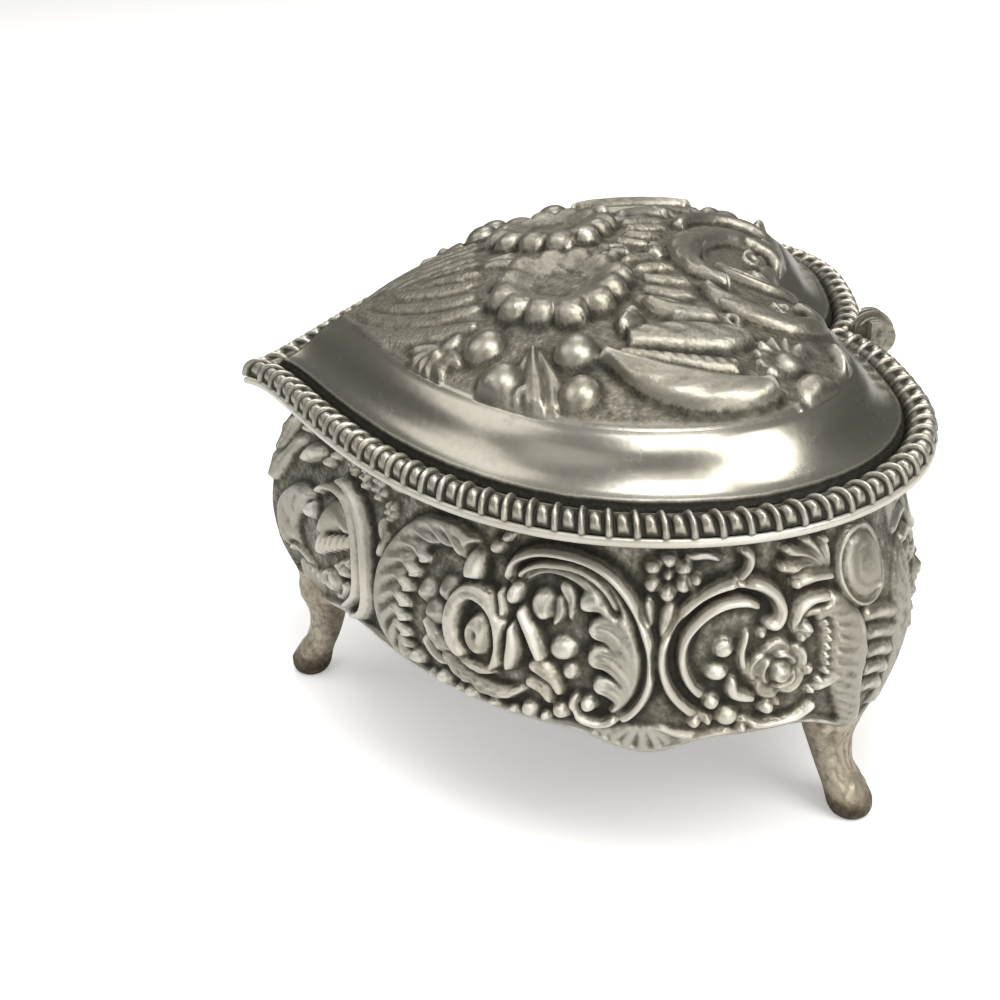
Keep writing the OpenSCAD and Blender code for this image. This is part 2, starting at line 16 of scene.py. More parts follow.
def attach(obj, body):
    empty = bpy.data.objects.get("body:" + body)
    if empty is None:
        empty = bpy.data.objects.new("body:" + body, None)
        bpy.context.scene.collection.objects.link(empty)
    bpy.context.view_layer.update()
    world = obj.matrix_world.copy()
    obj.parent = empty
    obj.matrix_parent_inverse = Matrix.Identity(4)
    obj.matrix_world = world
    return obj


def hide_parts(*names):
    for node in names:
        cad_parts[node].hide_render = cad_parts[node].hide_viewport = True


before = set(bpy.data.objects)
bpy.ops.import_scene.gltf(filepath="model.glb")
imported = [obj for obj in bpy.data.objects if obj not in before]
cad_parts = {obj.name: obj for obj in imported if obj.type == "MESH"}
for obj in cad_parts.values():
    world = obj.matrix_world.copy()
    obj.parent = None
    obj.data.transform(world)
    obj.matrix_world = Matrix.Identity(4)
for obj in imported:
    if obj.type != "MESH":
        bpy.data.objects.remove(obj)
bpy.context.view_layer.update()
MM = 0.001

# ---- sizes in millimetres, as in the frame ----
RIM_W, RIM_L, CLEFT, SEAM = 110.0, 94.0, 5.0, 52.0
WALL_T, NECK_IN, BELLY_IN, BELLY_Z = 1.8, 4.2, 0.5, 30.0
EDGE_Z, DROP = 24.0, 3.0
GROOVE_IN, PANEL_IN, PANEL_Z, DOME_H, LID_T = 3.4, 10.6, 61.6, 8.0, 2.0
FLANGE_Z, ROPE_OUT, ROPE_H, ROPE_TURNS = 52.8, 0.9, 3.3, 100
TOE_IN = 3.4
Y_TIP = -47.51
Y_BACK = Y_TIP + RIM_L
CY = Y_TIP + 0.556 * RIM_L  # middle of the dome
DRAWN_Y = 7.79  # the lid's ornament is drawn with the middle of the rim's length at -8.3


def ease(x, a=0.0, b=1.0):
    t = np.clip((np.asarray(x, float) - a) / (b - a), 0, 1)
    return t * t * (3 - 2 * t)


# ---- outline of the heart: three curves per half, linear in the inset ----
def control_points(d):
    h = RIM_W / 2
    return np.array([
        [0, Y_TIP + 1.31 * d],
        [0.08 * h + 0.58 * d, Y_TIP + 0.0915 * RIM_L + 1.1 * d],
        [h - 0.95 * d, Y_TIP + 0.215 * RIM_L + 1.23 * d],
        [h - d, Y_TIP + 0.645 * RIM_L],
        [h - d, Y_TIP + 0.8415 * RIM_L - 0.56 * d],
        [0.749 * h - 0.55 * d, Y_BACK - d],
        [0.427 * h, Y_BACK - d],
        [0.209 * h - 0.6 * d, Y_BACK - 1.07 * d],
        [3.2 + 0.96 * d, Y_BACK - 0.32 * CLEFT - 1.02 * d],
        [0, Y_BACK - CLEFT - 1.02 * d],
    ])


def curve_at(points, i):
    """Points of the three joined curves at parameters i from 0, the tip, to 3, the cleft."""
    i = np.clip(np.asarray(i, float), 0, 3)
    k = np.minimum(i.astype(int), 2)
    t = (i - k)[..., None]
    p = [points[3 * k + j] for j in range(4)]
    return (1 - t) ** 3 * p[0] + 3 * (1 - t) ** 2 * t * p[1] + 3 * (1 - t) * t * t * p[2] + t ** 3 * p[3]


FINE = np.linspace(0, 3, 1501)
BASE = control_points(0.0)
STEP_IN = control_points(1.0) - BASE
_chords = np.linalg.norm(np.diff(curve_at(BASE, FINE), axis=0), axis=1)
RUN = np.concatenate([[0], np.cumsum(_chords)])
TOTAL = RUN[-1]


def on_rim(s, inset):
    """Plan points at run s from the tip (negative on the left half) and an inset from the rim."""
    s = np.asarray(s, float)
    i = np.interp(np.minimum(np.abs(s), TOTAL), RUN, FINE)
    p = curve_at(BASE, i) + np.asarray(inset, float)[..., None] * curve_at(STEP_IN, i)
    p[..., 0] *= np.where(s < 0, -1, 1)
    return p


def wall_in(z):
    """Inset of the plain wall at height z."""
    z = np.asarray(z, float)
    up = np.clip((z - BELLY_Z) / (SEAM - 4 - BELLY_Z), 0, 1) ** 1.3
    low = BELLY_IN + 5.6 * (np.maximum(BELLY_Z - z, 0) / 18) ** 2
    return np.where(z > BELLY_Z, BELLY_IN + (NECK_IN - BELLY_IN) * ease(up), low)


REAR_FOOT = 0.71 * TOTAL
MIRROR_AT = 112.75  # run about which the ornament in front of the rear foot repeats behind it
DROP_AT = 0.485 * TOTAL


def dip(s, at, width):
    """1 at a place along the rim, falling to 0 over a width each way."""
    return 0.5 + 0.5 * np.cos(np.pi * np.minimum(1, np.abs(np.abs(s) - at) / width))


def edge_z(s):
    """Height of the wall's lower edge."""
    return EDGE_Z - 8.5 * dip(s, 0, 32) - 8 * dip(s, REAR_FOOT, 18) - DROP * dip(s, DROP_AT, 10)


# ---- relief: heights over scattered points, drawn on in turn ----
def spline(points, step=0.25):
    """A smooth curve through points, sampled evenly."""
    p = np.asarray(points, float)
    q = np.vstack([2 * p[0] - p[1], p, 2 * p[-1] - p[-2]])
    t = np.linspace(0, 1, 24, endpoint=False)[:, None]
    rows = []
    for k in range(1, len(q) - 2):
        a, b, c, d = q[k - 1:k + 3]
        rows.append(0.5 * (2 * b + (c - a) * t + (2 * a - 5 * b + 4 * c - d) * t ** 2
                           + (3 * b - a - 3 * c + d) * t ** 3))
    c = np.vstack(rows + [p[-1:]])
    run = np.concatenate([[0], np.cumsum(np.linalg.norm(np.diff(c, axis=0), axis=1))])
    n = max(3, int(run[-1] / step) + 1)
    u = np.linspace(0, run[-1], n)
    return np.column_stack([np.interp(u, run, c[:, 0]), np.interp(u, run, c[:, 1])]), run[-1]


def blunt(t, a=0.12, b=0.12):
    """Width along a stroke that rounds off over the shares a and b at its ends."""
    w = np.ones_like(t)
    if a:
        w = w * np.sqrt(np.clip(1 - np.clip(1 - t / a, 0, 1) ** 2, 0, 1))
    if b:
        w = w * np.sqrt(np.clip(1 - np.clip(1 - (1 - t) / b, 0, 1) ** 2, 0, 1))
    return w


def leafy(t, tip=1.0, root=0.5):
    """Width along a leaf: narrow root, full middle, drawn out tip."""
    return np.clip(np.sin(np.pi * np.clip(t, 0, 1) ** root) ** tip, 0, 1)


def soft_round(t, v):
    return np.clip(1 - v * v, 0, 1) ** 0.75


def rimmed(t, v):
    """A flat, slightly crowned band with one raised outer rim."""
    a = np.abs(v)
    crown = 0.78 + 0.12 * (1 - a * a)
    rim = 0.3 * np.exp(-((v - 0.74) / 0.16) ** 2)
    return (crown + rim) * np.sqrt(np.clip(1 - a ** 6, 0, 1))


def ribbed_leaf(t, v):
    """A leaf with a sunk midrib and slanted veins."""
    a = np.abs(v)
    body = np.clip(1 - a ** 2.2, 0, 1) ** 0.6
    vein = 0.10 * np.cos(2 * np.pi * (t * 7 - 0.9 * a))
    mid = 0.35 * np.exp(-(v / 0.13) ** 2)
    return body * (1 + vein) - mid * body


def ridged(t, v):
    a = np.abs(v)
    crown = 0.15 * np.sqrt(np.clip(1 - a * a, 0, 1))
    return np.clip(1 - a, 0, 1) ** 0.75 * 0.85 + crown + 0.05 * np.cos(9 * a)


def grooved(t, v):
    """A broad leaf with lengthwise grooves."""
    return np.sqrt(np.clip(1 - np.abs(v) ** 3, 0, 1)) * (0.86 + 0.14 * np.cos(2 * np.pi * 1.6 * v))


# the sunk line round each form, in millimetres: how wide, and how steeply its ground rises again
MOAT_REACH, MOAT_SLOPE = 1.2, 2.4


class Relief:
    """Heights in millimetres over points x, y. Each stroke is laid over what is there, with a
    fine dark line of ground left round it."""

    def __init__(self, x, y):
        self.shape = x.shape
        self.x, self.y = x.ravel().astype(float), y.ravel().astype(float)
        self.h = np.zeros(self.x.shape)
        self.gloss = np.zeros(self.x.shape)

    def near(self, x0, x1, y0, y1, pad):
        """Indices of the points in a box, grown by pad."""
        in_x = (self.x > x0 - pad) & (self.x < x1 + pad)
        in_y = (self.y > y0 - pad) & (self.y < y1 + pad)
        return np.flatnonzero(in_x & in_y)

    def lay(self, at, outside, height, moat=0.0, gloss=1.0, over=False):
        """Lays height where outside (distance past the border) is negative."""
        h = self.h[at]
        out = np.minimum(h, moat + MOAT_SLOPE * np.maximum(outside, 0)) if not over else h
        inside = outside < 0
        self.h[at] = np.where(inside, np.maximum(height, h) if over else height, out)
        self.gloss[at] = np.where(inside, gloss, self.gloss[at])

    def stroke(self, points, width, height, form=soft_round, grow=blunt, rise=None, gloss=1.0, over=False):
        """A band along a smooth curve. width is the greatest half width; grow(t) its share along
        the band; rise(t) the share of the height."""
        c, length = spline(points)
        d = np.gradient(c, axis=0)
        d /= np.linalg.norm(d, axis=1)[:, None] + 1e-9
        pad = width + MOAT_REACH
        at = self.near(c[:, 0].min(), c[:, 0].max(), c[:, 1].min(), c[:, 1].max(), pad)
        if not len(at):
            return
        x, y = self.x[at], self.y[at]
        best = np.full(len(at), 1e9)
        k = np.zeros(len(at), int)
        for j in range(len(c)):
            r = (x - c[j, 0]) ** 2 + (y - c[j, 1]) ** 2
            m = r < best
            best[m] = r[m]
            k[m] = j
        dx, dy = x - c[k, 0], y - c[k, 1]
        along = dx * d[k, 0] + dy * d[k, 1]
        side = d[k, 0] * dy - d[k, 1] * dx
        t = k / (len(c) - 1) + along / length
        reach = np.sqrt(best)
        tc = np.clip(t, 0, 1)
        half = np.maximum(width * grow(tc), 0.02)
        past = np.maximum(np.maximum(-t, t - 1) * length, 0)
        outside = np.hypot(np.maximum(np.abs(side) - half, 0), past)
        outside = np.where((np.abs(side) < half) & (past == 0), -1.0, np.maximum(outside, 1e-3))
        outside = np.where(reach > pad, 9.0, outside)
        v = np.clip(side / half, -1, 1)
        up = height * form(tc, v) * (rise(tc) if rise else 1.0)
        keep = outside < MOAT_REACH
        self.lay(at[keep], outside[keep], up[keep], gloss=gloss, over=over)

    def blob(self, x, y, rx, ry, height, turn=0.0, form=None, gloss=1.0, over=False, base=0.0):
        """A rounded boss, or what form(a, b, q) gives in its own axes, q being 1 at its border."""
        r = max(rx, ry)
        at = self.near(x, x, y, y, r + MOAT_REACH)
        c, s = math.cos(turn), math.sin(turn)
        dx, dy = self.x[at] - x, self.y[at] - y
        a, b = (dx * c + dy * s) / rx, (-dx * s + dy * c) / ry
        q = np.hypot(a, b)
        up = base + (height * np.sqrt(np.clip(1 - q * q, 0, 1)) if form is None else height * form(a, b, q))
        self.lay(at, np.where(q < 1, -1.0, (q - 1) * min(rx, ry)), up, gloss=gloss, over=over)

    def petal(self, x, y, angle, length, width, height, base, cup=0.45):
        """A cupped petal from x, y outward, its rim raised."""
        cx, cy = x + 0.5 * length * math.cos(angle), y + 0.5 * length * math.sin(angle)

        def form(a, b, q):
            rim = np.exp(-((q - 0.86) / 0.13) ** 2)
            return (1 - cup) * np.sqrt(np.clip(1 - q ** 4, 0, 1)) * (0.62 + 0.38 * a) + cup * rim

        self.blob(cx, cy, 0.5 * length, 0.5 * width, height, angle, form, base=base)

    def rose(self, x, y, r, height, turn):
        """Two rounds of cupped petals and a spiral bud."""
        for k in range(5):
            a = turn + k * 2 * math.pi / 5
            self.petal(x + 0.22 * r * math.cos(a), y + 0.22 * r * math.sin(a), a, 0.82 * r, 0.98 * r,
                       0.75 * height, 0.15)
        for k in range(3):
            a = turn + 0.6 + k * 2 * math.pi / 3
            self.petal(x + 0.02 * r * math.cos(a), y + 0.02 * r * math.sin(a), a, 0.62 * r, 0.85 * r,
                       0.8 * height, 0.3 * height)

        def bud(a, b, q):
            swirl = np.cos(np.arctan2(b, a) - 6.5 * q + turn)
            return np.sqrt(np.clip(1 - q * q, 0, 1)) * 0.75 + 0.3 * swirl * (1 - ease(q, 0.75, 1.0))

        self.blob(x, y, 0.36 * r, 0.36 * r, 0.8 * height, 0, bud, base=0.45 * height)

    def grid(self):
        return self.h.reshape(self.shape)


def blur(h, times, wrap=False):
    """Small even blur of a grid of heights."""
    for _ in range(times):
        for axis in (0, 1):
            if axis == 1 and wrap:
                h = 0.25 * np.roll(h, 1, 1) + 0.5 * h + 0.25 * np.roll(h, -1, 1)
            else:
                p = np.pad(h, [(1, 1) if k == axis else (0, 0) for k in (0, 1)], mode="edge")
                n = h.shape[axis]
                h = 0.25 * p.take(range(0, n), axis) + 0.5 * h + 0.25 * p.take(range(2, n + 2), axis)
    return h


def wide_mean(h, r):
    """Mean of a grid over a square of side 2r + 1."""
    for axis in (0, 1):
        p = np.pad(h, [(r + 1, r) if k == axis else (0, 0) for k in (0, 1)], mode="edge")
        c = np.cumsum(p, axis)
        n = h.shape[axis]
        h = (c.take(range(2 * r + 1, 2 * r + 1 + n), axis) - c.take(range(0, n), axis)) / (2 * r + 1)
    return h


# ---- ornament of the wall, drawn as run from the tip and height, for one half ----
def growing(a=0.45, end=0.10):
    return lambda t: (a + (1 - a) * ease(t, 0, 0.75)) * blunt(t, 0.03, end)


def shrinking(a, end=0.08):
    return lambda t: (1 - (1 - a) * ease(t, 0.25, 1)) * blunt(t, end, 0.05)


def fluted(count, lean, side, depth):
    """A broad leaf, highest at its outer rim, with grooves that fan toward its toothed side."""
    def form(t, v):
        w = side * v
        body = np.clip(1 - np.abs(v) ** 4, 0, 1) ** 0.5
        groove = np.cos(2 * np.pi * (count * t + lean * w))
        return body * (0.88 - 0.10 * w + depth * ease(w, -0.8, 0.6) * (groove - 0.4))
    return form


class Pen:
    """Draws on a relief from points in one half's own coordinates; place says where they fall.
    Bends and turns are the same way round on every half."""

    def __init__(self, relief, place):
        self.relief, self.place = relief, place
        self.hand = -1 if place(1, 0)[0] > place(0, 0)[0] else 1

    def line(self, points):
        return [self.place(*p) for p in points]

    def stroke(self, points, *sizes, **more):
        self.relief.stroke(self.line(points), *sizes, **more)

    def blob(self, x, y, *sizes, **more):
        self.relief.blob(*self.place(x, y), *sizes, **more)

    def rose(self, x, y, *sizes):
        self.relief.rose(*self.place(x, y), *sizes)

    def tooth(self, root, tip, half, height, bend, bead):
        """A lobe of an acanthus leaf from its root to a rounded tip."""
        (x0, y0), (x1, y1) = self.line([root, tip])
        mid = ((x0 + x1) / 2 - bend * (y1 - y0), (y0 + y1) / 2 + bend * (x1 - x0))
        self.relief.stroke([(x0, y0), mid, (x1, y1)], half, height, soft_round, growing(0.6, 0.25),
                           rise=lambda t: 0.6 + 0.4 * t)
        self.relief.blob(x1, y1, bead, bead, 0.5, base=height * 0.75, over=True)

    def daisy(self, x, y, size, height, turn):
        x, y = self.place(x, y)
        for k in range(5):
            a = turn + 2 * math.pi * k / 5
            self.relief.blob(x + 0.62 * size * math.cos(a), y + 0.62 * size * math.sin(a),
                             0.42 * size, 0.40 * size, height, a)
        self.relief.blob(x, y, 0.26 * size, 0.26 * size, 0.5, base=height * 0.7, over=True)

    def fan(self, root, tips, half, height, form=ribbed_leaf):
        for tip in tips:
            mid = (0.5 * (root[0] + tip[0]), 0.5 * (root[1] + tip[1]))
            self.stroke([root, mid, tip], half, height, form, lambda t: leafy(t, 0.7, 0.8),
                        rise=lambda t: 0.7 + 0.3 * t)

    def between(self, outer, inner, height, form=soft_round, **more):
        """A band that fills the room between two curves."""
        u = np.linspace(0, 1, 30)
        sides = []
        for points in (outer, inner):
            c, _ = spline(self.line(points))
            sides.append(np.column_stack([np.interp(u, np.linspace(0, 1, len(c)), c[:, k]) for k in (0, 1)]))
        o, i = sides
        half = np.linalg.norm(o - i, axis=1) / 2
        self.relief.stroke(list((o + i) / 2), half.max(), height, form,
                           lambda t: np.interp(t, u, half) / half.max(), **more)

    def leaves(self, leaves, height=1.3, form=ribbed_leaf):
        """Leaves given as their points and half width."""
        for points, half in leaves:
            self.stroke(points, half, height, form, lambda t: leafy(t, 0.6, 0.7))

    def beads(self, beads, height=1.6):
        for x, z, size in beads:
            self.blob(x, z, size, 0.92 * size, height)

    def pit(self, x, y, size, height):
        """A ring round a sunk middle."""
        self.blob(x, y, size, size, height, 0,
                  lambda a, b, q: np.exp(-((q - 0.72) / 0.2) ** 2) - 0.35 * (q < 0.4))


def draw_tip_motif(pen):
    """Leaves round the corner at the tip, a fringed lobe and the double ribbon beside them."""
    # broad leaves that lie round the corner
    pen.between([(3.4, 26), (2.6, 30), (4.2, 35), (8.4, 38.4), (13, 38.8), (15.8, 37)],
                [(9.6, 25.6), (8.2, 28.6), (8.8, 31.6), (10.4, 34), (12.2, 35.2), (14, 35.6)], 1.6,
                fluted(4, 0.4, -1, 0.10))
    pen.blob(14.6, 36.4, 1.3, 1.5, 2.0)
    pen.stroke([(3.8, 24.6), (7, 26.6), (10.4, 26.4), (12.4, 24.6)], 0.8, 1.3, soft_round,
               lambda t: leafy(t, 0.6, 0.8))
    pen.leaves((([(0.6, 36), (1.2, 40), (3.2, 43), (6, 44.8)], 1.9),
                ([(0, 41), (1, 44.6), (3, 47.6)], 1.7)), 1.0, grooved)
    pen.stroke([(8.6, 42.2), (10, 44), (13.2, 45.4)], 1.7, 1.9, soft_round, lambda t: leafy(t, 0.55, 0.8),
               gloss=1.3)
    pen.beads(((15.6, 44.6, 1.0), (6.8, 46.8, 0.9), (17.6, 46.4, 0.8)))
    # smooth lobe with a hanging fringe
    pen.between([(18, 33.6), (17.6, 36.6), (18.8, 39.4), (21.6, 40.8), (25, 40.4), (27.8, 38.2)],
                [(19.4, 33.8), (20.4, 34.8), (21.6, 35.6), (23.2, 36.4), (25, 37), (27.4, 37.4)], 1.5)
    for k in range(6):
        root, tip = (18.8 + 1.7 * k, 34.2 + 0.72 * k), (18 + 1.85 * k, 30.4 + 1.05 * k)
        pen.stroke([root, tip], 0.62, 1.7, soft_round, growing(0.6, 0.3), gloss=1.2)
    # cluster under the fringe
    pen.leaves((([(27.8, 33.4), (25, 31.4), (22, 30.2)], 1.2),
                ([(20.4, 28.6), (18.4, 26.4), (15.4, 24)], 1.3),
                ([(27, 29.6), (24.8, 27.2), (22.4, 25)], 1.2)))
    pen.blob(23.6, 28.8, 1.7, 1.8, 1.9, 0.4)
    pen.blob(20.6, 26.4, 1.3, 1.2, 1.6)
    pen.blob(26.6, 31.6, 1.2, 1.0, 1.6)
    # long leaves that run into the foot
    for k in range(4):
        pen.stroke([(15.4 - 2.6 * k, 25.8 - 0.4 * k), (11 - 2 * k, 22.4 - 0.8 * k),
                    (6.6 - 1.2 * k, 18.6 - 0.6 * k)], 1.3, 1.0, soft_round,
                   lambda t: 0.5 + 0.5 * ease(t, 0, 0.4))
    # the double ribbon: outer and inner line
    outer = [(20.4, 43.7), (23.4, 43.6), (27.6, 42.4), (31, 39.8), (33.2, 36), (33.8, 31.4), (32, 27.6),
             (28, 24.8), (22, 22.6), (15, 19.6), (8.6, 15)]
    pen.stroke(outer, 0.85, 2.0, soft_round, lambda t: blunt(t, 0.02, 0.0), gloss=1.2)
    inner = [(15.2, 39.6), (16.6, 41), (20, 42), (23.8, 41.9), (27.2, 40.2), (29.8, 37.2), (30.9, 33),
             (30, 29.6), (28, 27.4), (24.6, 24.6)]
    pen.stroke(inner, 0.72, 1.8, soft_round, lambda t: blunt(t, 0.03, 0.05), gloss=1.1)
    # small flowers and leaves under the rim
    for x, z, size in ((27.2, 46.4, 1.7), (31.2, 46.4, 1.9), (35, 44.4, 1.5), (22.8, 46.4, 1.3)):
        pen.daisy(x, z, size, 1.1, turn=x)
    pen.leaves((([(35.6, 41.4), (34.6, 37.6)], 0.8), ([(34.4, 48.4), (38.6, 48.4)], 0.9),
                ([(33.4, 42.8), (35, 40.2)], 0.8)), 1.0)


def draw_great_scroll(pen):
    """The toothed scroll with the great rose, and the ribbon scroll that faces it."""
    outer = [(41, 24.4), (37.4, 26.6), (35.5, 30), (35.5, 35), (36.6, 40), (39.6, 44.4), (44.4, 47.3),
             (50, 48), (54, 46.6), (55.9, 43.4)]
    inner = [(43.2, 25.8), (41.8, 28), (41.2, 31), (41.2, 34.4), (41.9, 38), (43.6, 41.4), (46.2, 43.6),
             (49.4, 44.2), (52, 43.4), (53.4, 41.6)]
    pen.between(outer, inner, 1.9, fluted(11, -0.9, -1, 0.26), rise=lambda t: 0.82 + 0.18 * ease(t, 0.5, 0.9))
    tips = [(44.2, 27.4), (43.6, 29.6), (43.2, 31.9), (43.4, 34.2), (43.8, 36.6), (44.5, 39), (45.8, 41.4)]
    for x, z in tips:
        pen.stroke([(x - 3.4, z + 0.9), (x - 1.8, z + 0.5), (x - 0.5, z)], 0.75, 1.5, soft_round,
                   growing(0.5, 0.3), over=True)
        pen.blob(x - 0.5, z, 0.66, 0.6, 1.9, over=True, gloss=1.3)
    pen.blob(54.5, 43.2, 1.55, 2.6, 2.6, 0.15, gloss=1.3)
    # three leaves behind the rose
    for x, z, rx, rz in ((46.6, 37.4, 1.7, 1.7), (50.6, 39, 2.0, 1.8), (48.6, 35.2, 1.9, 1.8)):
        pen.blob(x, z, rx, rz, 1.25, 0.4,
                 lambda a, b, q: (0.9 + 0.12 * np.cos(5 * b)) * np.clip(1 - q ** 3, 0, 1) ** 0.6)
    # leaves under the rose
    pen.leaves((([(47, 34), (50, 31), (54.6, 29.6), (59, 30)], 1.15),
                ([(46.8, 31), (49, 29), (51.4, 28)], 0.9),
                ([(50.6, 30), (54.6, 27.6), (59.6, 27.2), (63.4, 29)], 1.6),
                ([(64.2, 33.2), (66.6, 32.4), (68.6, 29.4)], 1.3),
                ([(63.6, 30.6), (66, 30), (67.2, 27.6)], 1.1)), 1.5)
    # great rose: the ring of its outer petal, bud and almonds
    ring = [(54.4, 31), (52.8, 33), (52.2, 36), (52.9, 38.8), (54.9, 40.3), (57.5, 39.8), (59.4, 37.9),
            (60.1, 35), (59.7, 32.4), (58.6, 30.8)]
    pen.stroke(ring, 1.2, 2.1, rimmed, lambda t: (0.78 + 0.22 * np.cos(4 * (t - 0.4))) * blunt(t, 0.12, 0.1))

    def bud(a, b, q):
        swirl = np.cos(np.arctan2(b, a) - 4.4 * q + 0.8)
        dome = 1.25 * np.sqrt(np.clip(1 - q ** 3, 0, 1))
        return dome + 0.34 * swirl * (1 - ease(q, 0.8, 1)) + 0.3 - 0.5 * np.exp(-(q / 0.2) ** 2)

    pen.blob(56.5, 34.8, 2.1, 3.0, 1.0, -0.12, bud)
    pen.stroke([(61.4, 38), (62, 35.2), (61.5, 31.6)], 1.25, 2.1, soft_round, lambda t: leafy(t, 0.5, 1.2),
               gloss=1.2)
    pen.stroke([(58.9, 41.6), (59.6, 40), (60, 38.4)], 0.6, 1.6, gloss=1.2)
    pen.stroke([(62.2, 40.3), (64.2, 37.6), (66.2, 34.2)], 0.95, 2.1, soft_round, growing(0.75, 0.12),
               gloss=1.2)
    # facing scroll: its broad leaf, four lobes and the rim that rolls up
    rim = [(61.7, 41.4), (60.2, 43.6), (61, 46), (64.8, 47.8), (70, 47.8), (74, 46.1), (77.2, 42.8),
           (79, 39.2), (79.8, 35.6), (79.2, 31.6), (77.4, 28.4), (75, 26.7)]
    inner = [(62.6, 42.2), (63, 43.8), (65.4, 45.2), (68.6, 44.8), (71.2, 43), (73.2, 40.6), (74.4, 38),
             (74.8, 35), (75.2, 31.6), (75.2, 28.4), (75, 27.4)]
    pen.between(rim, inner[:-1], 1.8, fluted(3, 0.3, -1, 0.10))
    for lobe, half in (([(70.2, 42.2), (73.6, 42.6), (76.6, 40), (78.2, 36.6)], 1.5),
                       ([(71.9, 39.4), (74.6, 39.2), (77, 36.6), (78.4, 33.4)], 1.7),
                       ([(72, 35.8), (74.6, 35.8), (76.8, 33.4), (77.8, 30.2)], 1.8),
                       ([(72.8, 32), (74.6, 32), (76.2, 30.2), (77, 28)], 1.5)):
        pen.stroke(lobe, half, 2.3, grooved, shrinking(0.5, 0.2), rise=lambda t: 1.0 - 0.25 * t, over=True)
    pen.stroke([(61.9, 42), (61.9, 44.4), (64.8, 46.1), (69.6, 46.2), (73, 44.4), (75.4, 41.4)], 0.55, 2.2,
               soft_round, shrinking(0.4), gloss=1.2)
    pen.stroke(rim, 0.75, 2.3, soft_round, lambda t: blunt(t, 0.04, 0.03), gloss=1.25)
    pen.blob(61.4, 41.8, 1.2, 1.5, 2.4, gloss=1.2)
    pen.stroke([(75.6, 27.2), (73.8, 26), (71.4, 26.4), (70.1, 28.2), (70.6, 30)], 0.7, 2.0, gloss=1.2)
    pen.blob(72.1, 29, 1.1, 1.1, 2.3, gloss=1.3)
    # bud and rounded leaves within it
    pen.blob(65.4, 41, 1.9, 1.9, 1.8, 0.5,
             lambda a, b, q: (0.85 + 0.15 * np.cos(4 * a)) * np.sqrt(np.clip(1 - q ** 4, 0, 1)))
    pen.leaves((([(67.4, 44), (69, 42.4), (69.4, 39.6)], 0.9),
                ([(67.4, 42.4), (67.8, 40.4), (67, 38.6)], 0.8)))
    pen.blob(68.6, 36, 1.9, 1.5, 1.6, 0.1)
    pen.blob(69.6, 33, 1.1, 1.2, 1.1)
    pen.beads(((57.6, 46.8, 1.2), (59.4, 48.6, 0.9), (44.8, 26.6, 1.3), (47.2, 24.6, 1.0), (50, 25.6, 1.3),
               (55, 25.4, 1.2), (58.4, 25, 0.9), (61.4, 25, 0.8),
               (64, 26, 1.3), (68.4, 27, 1.3), (52.6, 25, 0.7), (66.2, 25.6, 0.8)), 1.9)


def draw_shell_and_flower(pen):
    """Ribbed shell at the lower edge and the small flower under the rim above it."""
    for k in range(9):
        a = -1.25 + 2.5 * k / 8
        fan = [(78.6 + 2 * math.sin(a), 25.6), (78.6 + 5.2 * math.sin(a), 24.6 - 1.2 * math.cos(a)),
               (78.6 + 8.6 * math.sin(a), 24.2 - 3.2 * math.cos(a))]
        # gloss 1.5 makes the ribs paler: worn, and partly a painted reflection of the floor
        pen.stroke(fan, 1.0, 0.9, soft_round, growing(0.4, 0.2), gloss=1.5)
    pen.leaves((([(82.2, 42.8), (81.4, 40.6), (80.8, 38.6)], 1.0),
                ([(84, 48.4), (86.8, 48.6), (88.8, 47.6)], 0.8),
                ([(79, 43.2), (79.4, 41.4), (79.8, 40)], 0.7),
                ([(84.6, 43.8), (85.6, 46.4)], 0.7)))
    for k in range(6):
        a = 0.5 + math.pi * k / 3
        pen.blob(81.7 + 2.35 * math.cos(a), 46 + 2.1 * math.sin(a), 1.22, 1.12, 1.7, gloss=1.2)
    pen.blob(81.7, 46, 0.8, 0.8, 1.3)
    pen.blob(85.4, 45.4, 0.85, 0.8, 1.6, gloss=1.2)
    pen.stroke([(91.4, 49.4), (92.6, 48), (92.4, 46.6), (91, 45.2)], 0.85, 1.9, soft_round, shrinking(0.6),
               gloss=1.2)


